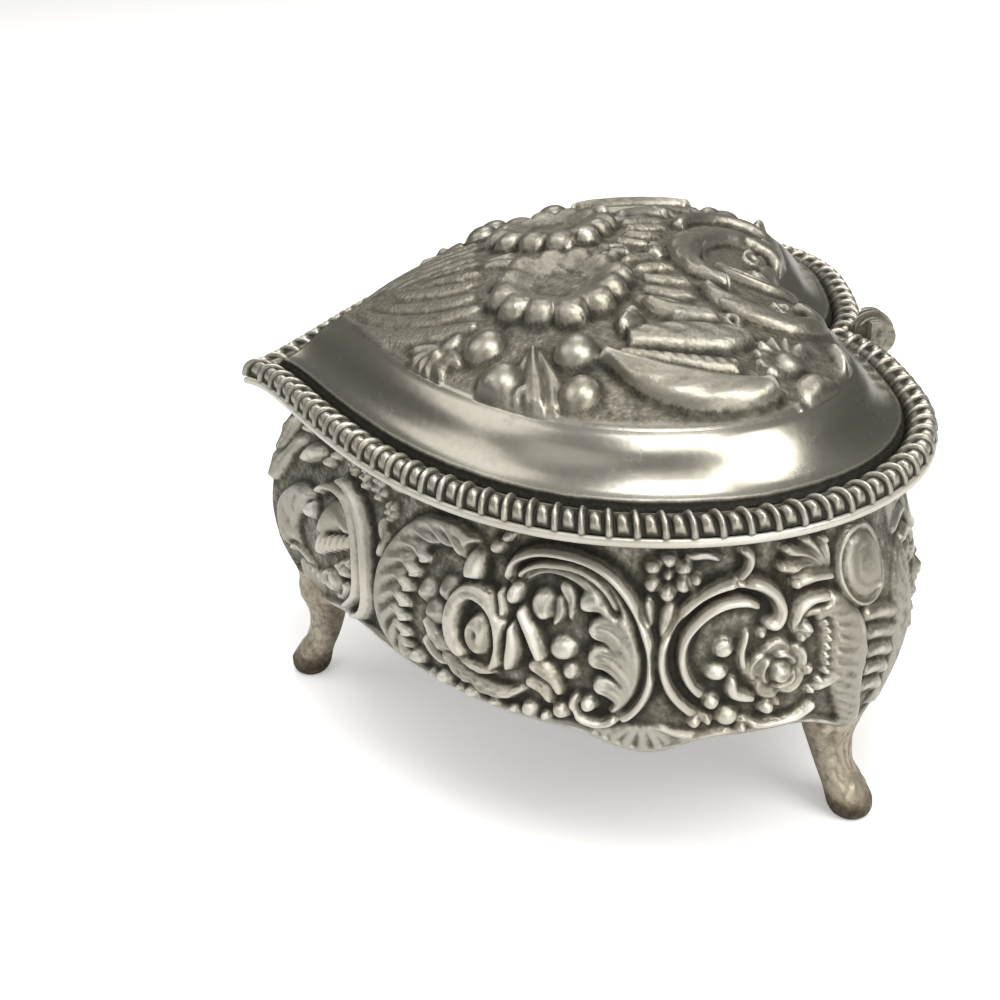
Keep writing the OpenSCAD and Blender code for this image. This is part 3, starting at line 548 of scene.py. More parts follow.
def draw_cartouche(pen):
    """Hooked frame of two lines round a rose."""
    # buds, stem and leaves behind the rose
    pen.blob(88.6, 37.1, 1.4, 1.2, 1.4, 0.2,
             lambda a, b, q: np.sqrt(np.clip(1 - q ** 4, 0, 1)) - 0.4 * np.exp(-(b / 0.2) ** 2))
    pen.blob(87.6, 34, 1.6, 1.1, 1.5, -0.1)
    pen.stroke([(91.8, 38.8), (90.8, 36), (91.6, 33.2), (93.4, 30.4)], 0.6, 1.4, soft_round,
               lambda t: leafy(t, 0.4, 0.8))
    pen.stroke([(89.5, 33.3), (89.8, 31), (92.6, 29.7)], 1.0, 1.7, soft_round, lambda t: leafy(t, 0.5, 0.8),
               gloss=1.2)
    pen.leaves((([(93.2, 37.8), (94.2, 39)], 0.7), ([(98.4, 36.4), (99.6, 37)], 0.7),
                ([(99, 31.6), (100.4, 32.6)], 0.8), ([(94, 29.6), (96, 27.8)], 0.8)), 1.2)
    pen.rose(95.6, 33.2, 4.0, 1.9, 0.4)
    # the two lines of the frame, the outer one hooked over
    outer = [(87.2, 26.6), (84.6, 28.6), (82.3, 31.4), (81.1, 35), (81.4, 38.4), (83.2, 41.4), (86.4, 43.8),
             (90.2, 44.9), (93.2, 44.5), (95.5, 43), (96.3, 41), (95.3, 39.5), (93.7, 39.8)]
    pen.stroke(outer, 0.85, 2.2, soft_round,
               lambda t: (0.78 + 0.5 * ease(t, 0.6, 0.85)) * blunt(t, 0.02, 0.06), gloss=1.2)
    inner = [(86.6, 30), (84.4, 32.8), (83.5, 35.8), (84, 38.7), (86, 41), (88.8, 42.4), (91.6, 42.5),
             (93.6, 41.6)]
    pen.stroke(inner, 0.8, 2.0, soft_round, growing(0.7, 0.15), gloss=1.25)
    pen.stroke([(90, 26.9), (93.8, 25.3), (97.8, 25.3), (101, 26.8)], 0.75, 1.7, gloss=1.1)
    pen.beads(((87, 30, 1.15), (85, 27, 0.95), (89, 27.6, 1.55), (94, 28.2, 1.05), (91, 25.4, 0.7)), 2.0)


def draw_tail(pen):
    """The leaf scroll that runs down into the rear foot."""
    outer = [(98, 40.4), (101.6, 42), (106, 40.6), (108.4, 37.4), (109, 33.6), (108.4, 29.6), (109.4, 24.6),
             (111.4, 18.4)]
    inner = [(99.8, 39), (101.8, 39), (102.7, 37.4), (103, 35.4), (103, 33.2), (102.6, 30.4), (104.4, 25.6),
             (107.6, 19)]
    pen.between(outer, inner, 1.6, fluted(13, 1.3, -1, 0.14))
    pen.stroke([(106, 30.4), (103, 29.4), (99.6, 28.8)], 1.2, 1.3, soft_round, lambda t: 1 - 0.5 * t,
               over=True)
    for k in range(9):
        u = k / 8
        pen.blob(102.6 + 0.3 * math.sin(9 * u) - 2.6 * max(0, u - 0.7) / 0.3, 37.6 - 8.6 * u, 0.55, 0.5,
                 1.7, gloss=1.2)
    pen.stroke([(99.4, 36.9), (98.2, 38.4), (98.4, 40), (100.6, 41.2), (103.6, 41)], 0.85, 2.0, gloss=1.15)
    pen.blob(99.4, 37.5, 1.15, 1.4, 2.2, gloss=1.3)
    tips = [(103.4, 48), (100.4, 48.8), (97.4, 48.2), (96.8, 45.8), (98.6, 43.4)]
    for x, z in tips:
        mid = (0.5 * (105 + x), 0.5 * (42.8 + z) + 0.4)
        pen.stroke([(105, 42.8), mid, (x, z)], 1.15, 1.6, ridged, growing(0.45, 0.25), gloss=1.15)
        pen.blob(x + 0.3, z, 0.7, 0.6, 0.5, base=1.2, over=True, gloss=1.2)


def draw_cabochon(pen):
    """Framed oval boss over slanted flutes."""
    for k in range(5):
        z = 35.6 - 2.75 * k
        flute = [(109.2, z + 0.7), (112.6, z - 0.2), (116.6 - 0.4 * k, z - 2.0)]
        pen.stroke(flute, 1.15, 1.1, soft_round, lambda t: blunt(t, 0.1, 0.1))

    def frame_ring(a, b, q):
        return 1.6 * np.exp(-((q - 0.9) / 0.07) ** 2) + 0.8 * (1 - ease(q, 0.8, 1))

    def face(a, b, q):
        return 1.5 * np.sqrt(np.clip(1 - q * q, 0, 1)) - 0.2 * np.exp(-((q - 0.5) / 0.1) ** 2) * (a < 0.2)

    pen.blob(110.6, 42.6, 4.9, 5.4, 1.0, 0.1, frame_ring, gloss=1.15)
    pen.blob(110.7, 42.6, 3.9, 4.3, 1.0, 0.1, face, base=0.3)
    pen.blob(112.2, 39.6, 0.7, 0.7, 2.0, over=True, gloss=1.3)


def pebbles(r):
    """Uneven ground between -1 and 1."""
    return np.sin(5.1 * r.x + 1.3 * np.sin(3.7 * r.y)) * np.sin(4.7 * r.y + 1.7 * np.sin(2.9 * r.x))


def draw_wall_half(r):
    """All the ornament of one half of the wall."""
    pen = Pen(r, lambda s, z: (s, z))
    far = Pen(r, lambda s, z: (2 * MIRROR_AT - s, z))
    r.h += 0.07 * pebbles(r)
    draw_tip_motif(pen)
    draw_tail(pen)
    draw_tail(far)
    draw_cabochon(pen)
    draw_cartouche(far)
    draw_shell_and_flower(far)
    pen.fan((162, 29), [(150, 40.5), (151.5, 44.5), (155, 47.2), (159.5, 48), (162, 48.4), (149.6, 35.5),
                        (151, 30.6)], 1.9, 1.6)
    pen.blob(161.5, 29.5, 2.4, 2.6, 1.9)
    draw_great_scroll(pen)
    draw_cartouche(pen)
    draw_shell_and_flower(pen)
    # bead moulding along the lower edge, and the relief fading out under the rim
    edge = edge_z(r.x)
    low = r.y - edge
    at = (low < 1.15) & (low > -2)
    r.h[at] = np.maximum(r.h[at] * ease(low[at], 0.5, 1.15),
                         1.0 * np.sqrt(np.clip(1 - ((low[at] - 0.55) / 0.6) ** 2, 0, 1)))
    r.gloss[at] = 1.0
    top = r.y > 49.4
    r.h[top] = r.h[top] * ease(50.6 - r.y[top], 0, 1.0)
    # flatter round the turn behind the cabochon
    r.h *= 1 - 0.45 * ease(r.x, 113, 119) * ease(r.x, 160, 140)


# ---- ornament of the lid, drawn in plan; y is measured as DRAWN_Y says ----
def draw_flower_ring(pen, x, y, size, height, count, turn):
    """A ring of fat cupped petals round a hollow, stippled middle."""
    r = pen.relief
    x, y = pen.place(x, y)
    at = r.near(x, x, y, y, size + 1.5)
    dx, dy = r.x[at] - x, r.y[at] - y
    d, a = np.hypot(dx, dy), np.arctan2(dy, dx) - turn
    k = np.round(a / (2 * math.pi / count))
    local = (a - k * 2 * math.pi / count) / (math.pi / count)
    wobble = 1 + 0.05 * np.sin(2.3 * k + 1) + 0.03 * np.cos(5.1 * k)
    reach = size * wobble * (1 - 0.16 * np.abs(local) ** 2.6)
    q = d / reach
    crest = np.where(q < 0.78, 0.42 + 0.58 * ease(q, 0.36, 0.78),
                     np.sqrt(np.clip(1 - ((q - 0.78) / 0.22) ** 2, 0, 1)))
    round_off = np.sqrt(np.clip(1 - (0.93 * np.abs(local)) ** 2.4, 0, 1))
    up = height * crest * (0.55 + 0.45 * round_off)
    bowl = 0.30 * height + 0.12 * np.sin(5 * dx) * np.sin(5 * dy)
    up = np.where(q < 0.36, bowl, np.maximum(up, bowl * (q < 0.7)))
    r.lay(at, np.where(q < 1, -1.0, (q - 1) * size), up, -0.1)
    r.gloss[at[q < 0.4]] = 0.3


def draw_lid_side(pen):
    """The flower, fruits, leaves and scrolls of one side of the lid."""
    # long low leaves toward the tip
    for pts, w, h in (([(17.5, -20.4), (16.8, -24.6), (14.2, -30), (9.6, -35), (4.6, -38.6)], 1.7, 0.85),
                      ([(13, -20), (12.6, -25.6), (9.8, -31), (5.4, -35.4), (2, -37.6)], 1.5, 0.8),
                      ([(9.4, -20.6), (8.9, -25.6), (6.6, -30.4), (3.4, -34.2)], 1.5, 0.8),
                      ([(5.6, -20.6), (5, -25), (3.2, -29.6), (1, -32.6)], 1.4, 0.75),
                      ([(2.2, -20), (1.9, -23.6), (0.9, -27.4)], 1.1, 0.7)):
        pen.stroke(pts, w, h, grooved, lambda t: leafy(t, 0.5, 0.62), rise=lambda t: 1 - 0.35 * t, gloss=0.6)
    # small palmette beside them
    pen.fan((21, -25.4), [(17.6, -29.7), (20, -31), (22.8, -30.4), (25.4, -28.4), (26.6, -25.6),
                          (25.4, -22.8), (19, -22.4)], 1.25, 1.4, grooved)
    pen.blob(21.6, -26, 1.1, 1.1, 1.6)
    # leaves behind the flower
    for pts, w in (([(17.4, 0.6), (19, 3.4), (20, 7)], 1.5), ([(14.6, 2), (16.2, 5), (17, 9)], 1.5),
                   ([(11.4, 2.4), (12, 6), (12.4, 9)], 1.4),
                   ([(8, 1.6), (7.2, 4.6), (7.6, 7.4)], 1.3), ([(4.8, 0.2), (3.4, 2.8), (3, 5)], 1.2),
                   ([(2.6, -2.6), (1.2, -0.4), (0.8, 2)], 1.0),
                   ([(2.2, -14.6), (0.8, -17), (0.6, -19.4)], 1.1),
                   ([(21, 2.4), (22.6, 5.2), (25, 8.4)], 1.5)):
        pen.stroke(pts, w, 1.25, grooved, lambda t: leafy(t, 0.55, 0.85), gloss=0.8)
    # broad low leaf between the flower and the scroll toward the lobe
    pen.between([(29.2, -2.6), (30.2, 2), (31, 7), (30.6, 11.3), (28, 15)],
                [(25.6, 0.2), (24.8, 4), (24.4, 8.2), (24.8, 11.6), (26.4, 14.4)], 1.8,
                fluted(4, 0.9, 1, 0.09), gloss=0.9)
    # bell shaped bud between the fruits
    for pts, w, h in (([(27, -13.6), (31.6, -15.2), (38, -16.6)], 1.7, 1.2),
                      ([(27, -13), (33, -11.9), (38.8, -11)], 1.7, 1.2),
                      ([(26.4, -13.3), (33, -13.6), (39.6, -13.8)], 1.5, 1.7)):
        pen.stroke(pts, w, h, grooved, growing(0.35, 0.18))
    pen.blob(34.4, -15.4, 0.7, 0.8, 0.5, base=1.3, over=True, gloss=1.2)
    # the scroll toward the lobe: one broad draped leaf
    outer = [(30.2, -6), (34.8, -3.4), (38.4, -0.8), (41.2, 3), (42.3, 7), (42.2, 11), (40.6, 15),
             (38.4, 16.6)]
    inner = [(31, -4.6), (32.4, -1.4), (34.6, 3), (36.4, 7.6), (37.2, 11.2), (37.2, 13.4), (36.8, 14.6)]
    pen.between(outer, inner, 2.9, fluted(5, 0.9, pen.hand, 0.06), gloss=1.15)
    # narrow leaf along its upper edge and the ruffle of teeth at its end
    pen.between([(30.6, -3.2), (33, 2.4), (34.8, 7.4), (35.6, 12)],
                [(29.8, -2), (31, 2.6), (32, 7.4), (32.6, 12)], 1.3, fluted(9, 0.7, 1, 0.14))
    for k in range(7):
        a = math.radians(150 + 27 * k)
        root = (32 + 1.2 * math.cos(a), 18.6 + 1.2 * math.sin(a))
        tip = (32 + 4.4 * math.cos(a), 18.6 + 4.2 * math.sin(a))
        pen.tooth(root, tip, 1.1, 1.5, 0.08, 0.5)
    pen.blob(32.4, 18.4, 2.0, 2.0, 1.7)
    # rounded leaf at the lobe
    pen.blob(36.6, 22, 3.0, 3.6, 1.7, 0.5,
             lambda a, b, q: np.clip(1 - q ** 3, 0, 1) ** 0.5 * (0.85 + 0.15 * np.cos(4.5 * b)))
    pen.stroke([(39.9, 18.2), (41.2, 21), (39.4, 24.4), (35.4, 26.4), (30.6, 26.6), (26, 25)], 1.2, 2.0,
               soft_round, growing(0.6, 0.1))
    # second leaf and the scroll it ends in
    outer = [(19.6, 1.2), (22.6, 3), (24.4, 6.4), (24.9, 10.6), (24.2, 13.4), (22.6, 14.4)]
    inner = [(18.4, 2.8), (20, 5.2), (21, 7.8), (21.6, 10.4), (21.6, 12), (21, 12.8)]
    pen.between(outer, inner, 2.2, grooved)
    pen.pit(23.4, 12.6, 1.4, 1.7)
    # long leaf toward the cleft
    outer = [(13.4, 9.6), (19, 11), (23.4, 15.4), (24.6, 20.4), (22, 25), (16.6, 26.8), (12.4, 24.4)]
    inner = [(13.8, 11.4), (17.4, 13.6), (20.2, 17), (20.8, 20.4), (19.2, 23), (16.4, 23.8), (14.4, 22.4)]
    pen.between(outer, inner, 2.1, fluted(6, 0.8, pen.hand, 0.08))
    pen.pit(16, 20.6, 1.5, 1.7)
    # leaf tip between flower and scroll
    pen.stroke([(21.6, 0.2), (23.6, -0.6), (26.4, -2)], 1.7, 2.4, soft_round, lambda t: leafy(t, 0.6, 0.9),
               gloss=1.3)
    for x, y, size, h in ((23.6, -19.6, 3.0, 2.6), (29.4, -8, 3.1, 2.8), (31.4, -17.9, 3.1, 2.7),
                          (37.2, -8, 2.9, 2.6), (0.9, 5.5, 1.7, 1.8)):
        pen.blob(x, y, size, size * 0.95, h, gloss=1.25)
    draw_flower_ring(pen, 12.4, -9, 10.3, 2.9, 12, 0.12)


def draw_lid(r):
    """Both sides and the great scroll, which lies over them."""
    pen = Pen(r, lambda x, y: (x, y))
    r.h += 0.06 * pebbles(r)
    draw_lid_side(Pen(r, lambda x, y: (-x, y)))
    draw_lid_side(pen)
    # great scroll across the middle, with its eye
    outer = [(12.6, 13.4), (8.6, 9), (2, 7.4), (-5.4, 8.6), (-11.6, 13), (-14.4, 19), (-12.8, 25.4), (-7, 28)]
    inner = [(11.6, 15), (8.6, 12.8), (3, 11.4), (-3.4, 12.6), (-8, 15.8), (-10, 19.6), (-9.4, 23),
             (-6, 24.6)]
    pen.between(outer, inner, 2.4, fluted(9, 0.9, 1, 0.08))
    for k in range(6):
        a = 2.5 - 0.42 * k
        root = (-4.4 + 6.2 * math.cos(a + 0.3), 18.6 + 5.6 * math.sin(a + 0.3))
        tip = (-4.4 + 3.6 * math.cos(a), 18.6 + 3.4 * math.sin(a))
        pen.tooth(root, tip, 1.1, 1.5, 0.1, 0.5)
    pen.pit(-6.2, 20.6, 1.5, 1.8)
    pen.between([(3.6, 12.8), (8.4, 15.4), (10, 20.4), (7.6, 25), (2.6, 25.6)],
                [(3, 15), (5.8, 17.4), (6.6, 20.4), (5.2, 22.6), (2.6, 22.8)], 2.0, grooved)
    pen.blob(3, 20, 1.6, 1.6, 2.0)


# ==== blender ====
class Skin:
    """Gathers rings of points, each the same size as the one before, half or twice it."""

    def __init__(self):
        self.points, self.cavity, self.gloss, self.quads, self.tris, self.rings = [], [], [], [], [], []
        self.count = 0

    def ring(self, p, cavity=0.0, gloss=1.0):
        """Adds a ring and joins it to the last one; cavity and gloss are one value or one a point."""
        n = len(p)
        first = self.count
        self.points.append(np.asarray(p, float))
        self.cavity.append(cavity * np.ones(n))
        self.gloss.append(gloss * np.ones(n))
        self.count += n
        if self.rings:
            self.join(self.rings[-1], (first, n))
        self.rings.append((first, n))

    def join(self, a, b):
        (fa, na), (fb, nb) = a, b
        if na == nb:
            i = np.arange(na)
            j = (i + 1) % na
            self.quads.append(np.column_stack([fa + i, fa + j, fb + j, fb + i]))
            return
        # three triangles for each point of the coarser ring
        k = np.arange(min(na, nb))
        after = (k + 1) % len(k)
        two_on = (2 * k + 2) % max(na, nb)
        if na > nb:
            corners = ((fa + 2 * k, fa + 2 * k + 1, fb + k), (fa + 2 * k + 1, fb + after, fb + k),
                       (fa + 2 * k + 1, fa + two_on, fb + after))
        else:
            corners = ((fa + k, fb + 2 * k + 1, fb + 2 * k), (fa + k, fa + after, fb + 2 * k + 1),
                       (fa + after, fb + two_on, fb + 2 * k + 1))
        self.tris += [np.column_stack(c) for c in corners]

    def cap(self, p, at_start=False, gloss=1.0):
        """Closes the first or the last ring with a point."""
        first, n = self.rings[0] if at_start else self.rings[-1]
        self.points.append(np.array([p], float))
        self.cavity.append(np.zeros(1))
        self.gloss.append(np.array([gloss]))
        i = np.arange(n)
        j = (i + 1) % n
        c = np.full(n, self.count)
        self.tris.append(np.column_stack([first + j, first + i, c] if at_start else [first + i, first + j,
                c]))
        self.count += 1

    def close(self):
        self.join(self.rings[-1], self.rings[0])

    def build(self, name, material, flip=False):
        """The object; flip turns its faces round."""
        p = np.vstack(self.points) * MM
        quads = np.vstack(self.quads)
        tris = np.vstack(self.tris) if self.tris else np.zeros((0, 3), int)
        if flip:
            quads, tris = quads[:, ::-1], tris[:, ::-1]
        mesh = bpy.data.meshes.new(name)
        mesh.vertices.add(len(p))
        mesh.vertices.foreach_set("co", p.ravel())
        loops = np.concatenate([quads.ravel(), tris.ravel()])
        starts = np.concatenate([np.arange(len(quads)) * 4, len(quads) * 4 + np.arange(len(tris)) * 3])
        mesh.loops.add(len(loops))
        mesh.loops.foreach_set("vertex_index", loops.astype(np.int32))
        mesh.polygons.add(len(starts))
        mesh.polygons.foreach_set("loop_start", starts.astype(np.int32))
        mesh.polygons.foreach_set("use_smooth", np.ones(len(starts), bool))
        mesh.update(calc_edges=True)
        mesh.validate(clean_customdata=False)
        for key, values in (("cavity", self.cavity), ("gloss", self.gloss)):
            layer = mesh.attributes.new(key, "FLOAT", "POINT")
            layer.data.foreach_set("value", np.concatenate(values).astype(np.float32))
        obj = bpy.data.objects.new(name, mesh)
        bpy.context.scene.collection.objects.link(obj)
        mesh.materials.append(material)
        return obj


# ---- materials ----
def node_material(name):
    mat = bpy.data.materials.new(name)
    mat.use_nodes = True
    return mat, mat.node_tree, mat.node_tree.nodes["Principled BSDF"]


def feed(tree, socket, value):
    """Gives a socket a number or a colour, or links it to another node's output."""
    if isinstance(value, tuple):
        socket.default_value = (*value, 1)
    elif isinstance(value, (int, float)):
        socket.default_value = value
    else:
        tree.links.new(value, socket)


def add(tree, kind, **values):
    """A node with inputs or settings by name."""
    node = tree.nodes.new(kind)
    for key, value in values.items():
        if key in node.inputs.keys():
            node.inputs[key].default_value = value
        else:
            setattr(node, key, value)
    return node


def ramp(tree, source, stops):
    node = tree.nodes.new("ShaderNodeValToRGB")
    r = node.color_ramp
    r.interpolation = "EASE"
    while len(r.elements) < len(stops):
        r.elements.new(0.5)
    for e, (place, value) in zip(r.elements, stops):
        e.position = place
        e.color = (*value, 1) if isinstance(value, tuple) else (value, value, value, 1)
    tree.links.new(source, node.inputs[0])
    return node.outputs[0]


def math_node(tree, operation, *values, clamp=False):
    node = add(tree, "ShaderNodeMath", operation=operation, use_clamp=clamp)
    for k, value in enumerate(values):
        feed(tree, node.inputs[k], value)
    return node.outputs[0]


def mix_colour(tree, factor, a, b, blend="MIX"):
    node = add(tree, "ShaderNodeMix", data_type="RGBA", blend_type=blend)
    for k, value in ((0, factor), (6, a), (7, b)):
        feed(tree, node.inputs[k], value)
    return node.outputs[2]


def texture(tree, kind, scale, detail, coords, **more):
    node = add(tree, kind, Scale=scale, **more)
    if "Detail" in node.inputs.keys():
        node.inputs["Detail"].default_value = detail
    tree.links.new(coords, node.inputs["Vector"])
    return node


def cast_metal(name, light=(0.43, 0.415, 0.36), dark=(0.13, 0.122, 0.095), rough=0.41, stipple=1.0, tone=0.0,
               ribs=0.0):
    """Worn plated casting: dull on its stippled ground, dark in the crevices, worn pale on what stands proud,
    and pale where a part is set below zero as a painted reflection. The gloss attribute is 0 on ground, 1 on
    ornament and 2 where it is polished."""
    mat, tree, shader = node_material(name)
    calc = functools.partial(math_node, tree)
    coords = add(tree, "ShaderNodeTexCoord").outputs["Object"]
    cavity, gloss = (add(tree, "ShaderNodeAttribute",
                         attribute_name=key).outputs["Fac"] for key in ("cavity", "gloss"))
    broad, fine, grain = (texture(tree, "ShaderNodeTexNoise", scale, detail, coords,
                                  Roughness=share).outputs["Fac"]
                          for scale, detail, share in ((90.0, 4.0, 0.6), (900.0, 4.0, 0.65),
                                                       (420.0, 6.0, 0.7)))
    grit = texture(tree, "ShaderNodeTexVoronoi", 1700.0, 0.0, coords).outputs["Distance"]
    polish = calc("SUBTRACT", gloss, 1.0, clamp=True)
    # depth in millimetres below the surroundings (above them where negative); on the flange and the seam lip
    # it is set below zero as a painted reflection of the floor
    depth = calc("MULTIPLY_ADD", cavity, 1.6, tone)
    depth = calc("ADD", depth, calc("MULTIPLY_ADD", broad, 0.6, -0.3))
    depth = calc("ADD", depth, calc("MULTIPLY_ADD", fine, 0.7, -0.35))
    speckle = calc("MULTIPLY", calc("SUBTRACT", grain, 0.5), calc("MULTIPLY_ADD", polish, -1.0, 1.3))
    depth = calc("ADD", depth, speckle)
    depth = calc("ADD", depth, calc("MULTIPLY_ADD", gloss, -0.28, 0.2))
    level = calc("MULTIPLY_ADD", depth, 0.5, 0.5, clamp=True)
    patina = ramp(tree, level, [(0.40, 0.0), (0.74, 1.0)])
    colour = mix_colour(tree, patina, light, dark)
    crevice = ramp(tree, level, [(0.66, 0.0), (0.95, 1.0)])
    colour = mix_colour(tree, crevice, colour, tuple(0.32 * c for c in dark))
    # pale where worn proud; also pale as a painted reflection where a part's depth is set below zero
    rubbed_and_painted_sheen = ramp(tree, level, [(0.05, 0.9), (0.33, 0.0)])
    colour = mix_colour(tree, rubbed_and_painted_sheen, colour, (0.70, 0.68, 0.61))
    blotch = ramp(tree, broad, [(0.35, (0.86, 0.84, 0.79)), (0.65, (1.0, 1.0, 1.0))])
    colour = mix_colour(tree, calc("MULTIPLY_ADD", polish, -0.8, 1.0), colour, blotch, "MULTIPLY")
    dull = calc("MULTIPLY_ADD", patina, 0.26, calc("MULTIPLY_ADD", fine, 0.14, rough - 0.07))
    metallic = calc("MULTIPLY_ADD", patina, -0.3, 1.0)
    pits = calc("MULTIPLY", grit, calc("MULTIPLY_ADD", gloss, -0.8, 1.0, clamp=True))
    uneven = calc("MULTIPLY_ADD", grain, 3.2, fine)
    ripple = calc("MULTIPLY", uneven, calc("MULTIPLY_ADD", polish, -0.17, 0.2))
    skin = calc("ADD", ripple, calc("MULTIPLY", pits, stipple))
    if ribs:
        wave = texture(tree, "ShaderNodeTexWave", 190.0, 0.0, coords).outputs["Fac"]
        skin = calc("MULTIPLY_ADD", wave, ribs, skin)
    bump = add(tree, "ShaderNodeBump", Strength=0.75, Distance=0.00022)
    for socket, value in ((bump.inputs["Height"], skin), (shader.inputs["Base Color"], colour),
                          (shader.inputs["Roughness"], calc("MULTIPLY_ADD", polish, -0.18, dull)),
                          (shader.inputs["Metallic"], calc("MULTIPLY_ADD", rubbed_and_painted_sheen, -0.55, metallic)),
                          (shader.inputs["Normal"], bump.outputs["Normal"])):
        tree.links.new(value, socket)
    return mat


def cloth_material(name, colour=(0.33, 0.02, 0.045)):
    """Short velvet: soft mottled pile with a sheen."""
    mat, tree, shader = node_material(name)
    coords = add(tree, "ShaderNodeTexCoord").outputs["Object"]
    pile = texture(tree, "ShaderNodeTexNoise", 2600.0, 2.0, coords).outputs["Fac"]
    brushed = texture(tree, "ShaderNodeTexNoise", 60.0, 5.0, coords, Distortion=0.8).outputs["Fac"]
    tint = ramp(tree, brushed, [(0.3, tuple(c * 0.8 for c in colour)),
                                (0.7, tuple(c * 1.15 for c in colour))])
    tint = mix_colour(tree, math_node(tree, "MULTIPLY", pile, 0.5), tint, tuple(c * 0.3 for c in colour))
    bump = add(tree, "ShaderNodeBump", Strength=0.5, Distance=0.0002)
    tree.links.new(pile, bump.inputs["Height"])
    for key, value in (("Base Color", tint), ("Roughness", 0.9), ("Sheen Weight", 0.35),
                       ("Sheen Roughness", 0.4),
                       ("Sheen Tint", (0.9, 0.45, 0.5)), ("Normal", bump.outputs["Normal"])):
        feed(tree, shader.inputs[key], value)
    return mat


# ---- the castings ----
HALF_COLUMNS = 736
LID_GAP, CLOTH_GAP, LINING_T, PAD_T, BASE_T = 0.1, 0.3, 1.0, 2.2, 1.2
PAD_Z = EDGE_Z + 0.6 + BASE_T + 0.05
# the lid's hollow: its mouth at the seam, straight up to LIP_Z, then in to the bend under the dome
HOLLOW_IN, LIP_Z = 8.2, SEAM + 2.2
BEND_IN = HOLLOW_IN + 0.6 * (PANEL_IN + LID_T - HOLLOW_IN)
BEND_Z = LIP_Z + 0.62 * (PANEL_Z - LID_T - LIP_Z)


def around(half):
    """Runs right round the rim, from the tip over the right half to the cleft and back."""
    s = np.linspace(0, TOTAL, half + 1)
    return np.concatenate([s, -s[-2:0:-1]])


def mirrored(h):
    """Heights of one half, by column, spread over both."""
    return np.concatenate([h, h[..., -2:0:-1]], axis=-1)


def loop(s, inset, z):
    """A ring of points at runs s; inset and z are one value or one a point."""
    p = on_rim(s, np.broadcast_to(np.asarray(inset, float), s.shape))
    return np.column_stack([p, np.broadcast_to(z, s.shape)])


def make_wall(metal):
    """Relief on the outside, drawn for one half, and a plain inside."""
    half = HALF_COLUMNS
    rows = 150
    s = np.linspace(0, TOTAL, half + 1)
    t = np.linspace(0, 1, rows)[:, None]
    top = SEAM - LID_GAP
    z = edge_z(s)[None] + (top - edge_z(s)[None]) * t
    relief = Relief(np.broadcast_to(s, z.shape), z)
    draw_wall_half(relief)
    h = blur(relief.grid(), 2)
    shade = wide_mean(wide_mean(h, 4), 4) - h
    full = around(half)
    h, shade, gloss, z = (mirrored(v) for v in (h, shade, blur(relief.gloss.reshape(h.shape), 2), z))
    skin = Skin()
    for k in range(rows):
        skin.ring(loop(full, wall_in(z[k]) - h[k], z[k]), shade[k], gloss[k])
    for z_in in (top, 50, 48, 45, 41, 37, 33, 30):
        skin.ring(loop(full, float(wall_in(z_in)) + WALL_T, z_in), gloss=0.3)
    low = edge_z(full) + 0.3
    for share in (0.7, 0.4, 0.15, 0):
        zz = low + (BELLY_Z - low) * share
        skin.ring(loop(full, wall_in(zz) + WALL_T, zz), gloss=0.3)
    skin.close()
    return skin.build("wall_casting", metal)


def soften_cleft(p, share=1.0, reach=11.0):
    """Rounds a ring of the lid in plan where it folds in at the cleft; reach is in points."""
    n = len(p)
    fade = np.exp(-2 * (np.pi * np.fft.fftfreq(n) * reach * n / (2 * HALF_COLUMNS)) ** 2)[:, None]
    smooth = np.real(np.fft.ifft(np.fft.fft(p[:, :2], axis=0) * fade, axis=0))
    weight = share * ease(np.abs(around(n // 2)), TOTAL - 12, TOTAL - 4)[:, None]
    q = p.copy()
    q[:, :2] += (smooth - p[:, :2]) * weight
    return q


def dome_z(u):
    """Height of the dome at share u of the way from its middle to the panel's edge."""
    return PANEL_Z + DOME_H * np.maximum(0, 1 - u * u) ** 0.85


def dome_ring(s, u, inset=PANEL_IN, drop=0.0):
    """The ring at share u of a panel with this inset; toward the middle the cleft fills out."""
    v = on_rim(s, np.full(s.shape, float(inset))) - [0, CY]
    r = np.hypot(v[:, 0], v[:, 1])
    fill = (CLEFT - 0.5) * np.exp(-((np.degrees(np.arctan2(v[:, 1], v[:, 0])) - 90) / 14) ** 2)
    p = v / r[:, None] * (u * (r + (1 - u) * fill))[:, None]
    return np.column_stack([p[:, 0], p[:, 1] + CY, np.full(len(s), float(dome_z(u)) - drop)])


def lid_profile():
    """Inset and height of the lid's outside from the flange in the groove to the panel's edge."""
    cove = np.array([[0, 0], [0.18, 0.1], [0.34, 0.25], [0.5, 0.44], [0.68, 0.7], [0.88, 0.92], [1, 1]])
    t = np.linspace(0, 1, 49)
    run = np.linspace(0, 1, len(cove))
    b0 = np.interp(t, run, cove[:, 0])
    b1 = np.interp(t, run, cove[:, 1])
    for _ in range(9):
        b0[1:-1] = 0.25 * b0[:-2] + 0.5 * b0[1:-1] + 0.25 * b0[2:]
        b1[1:-1] = 0.25 * b1[:-2] + 0.5 * b1[1:-1] + 0.25 * b1[2:]
    start_in, start_z = GROOVE_IN + 0.45, FLANGE_Z + ROPE_H - 0.5
    return np.column_stack([start_in + (PANEL_IN - start_in) * b0, start_z + (PANEL_Z - start_z) * b1])


def dome_rings(full):
    """Shares and point counts of the dome's rings from the edge inward; the counts halve as the
    rings shrink."""
    n = len(full)
    shares, counts = [], []
    u, c = 1.0, n
    step = 0.0052 * 736 / HALF_COLUMNS
    while u > 0.02:
        shares.append(u)
        counts.append(c)
        if u < 0.55 * c / n and c % 4 == 0 and c > 46:
            c //= 2
        u -= step if u > 0.1 else 2 * step
    return shares, counts


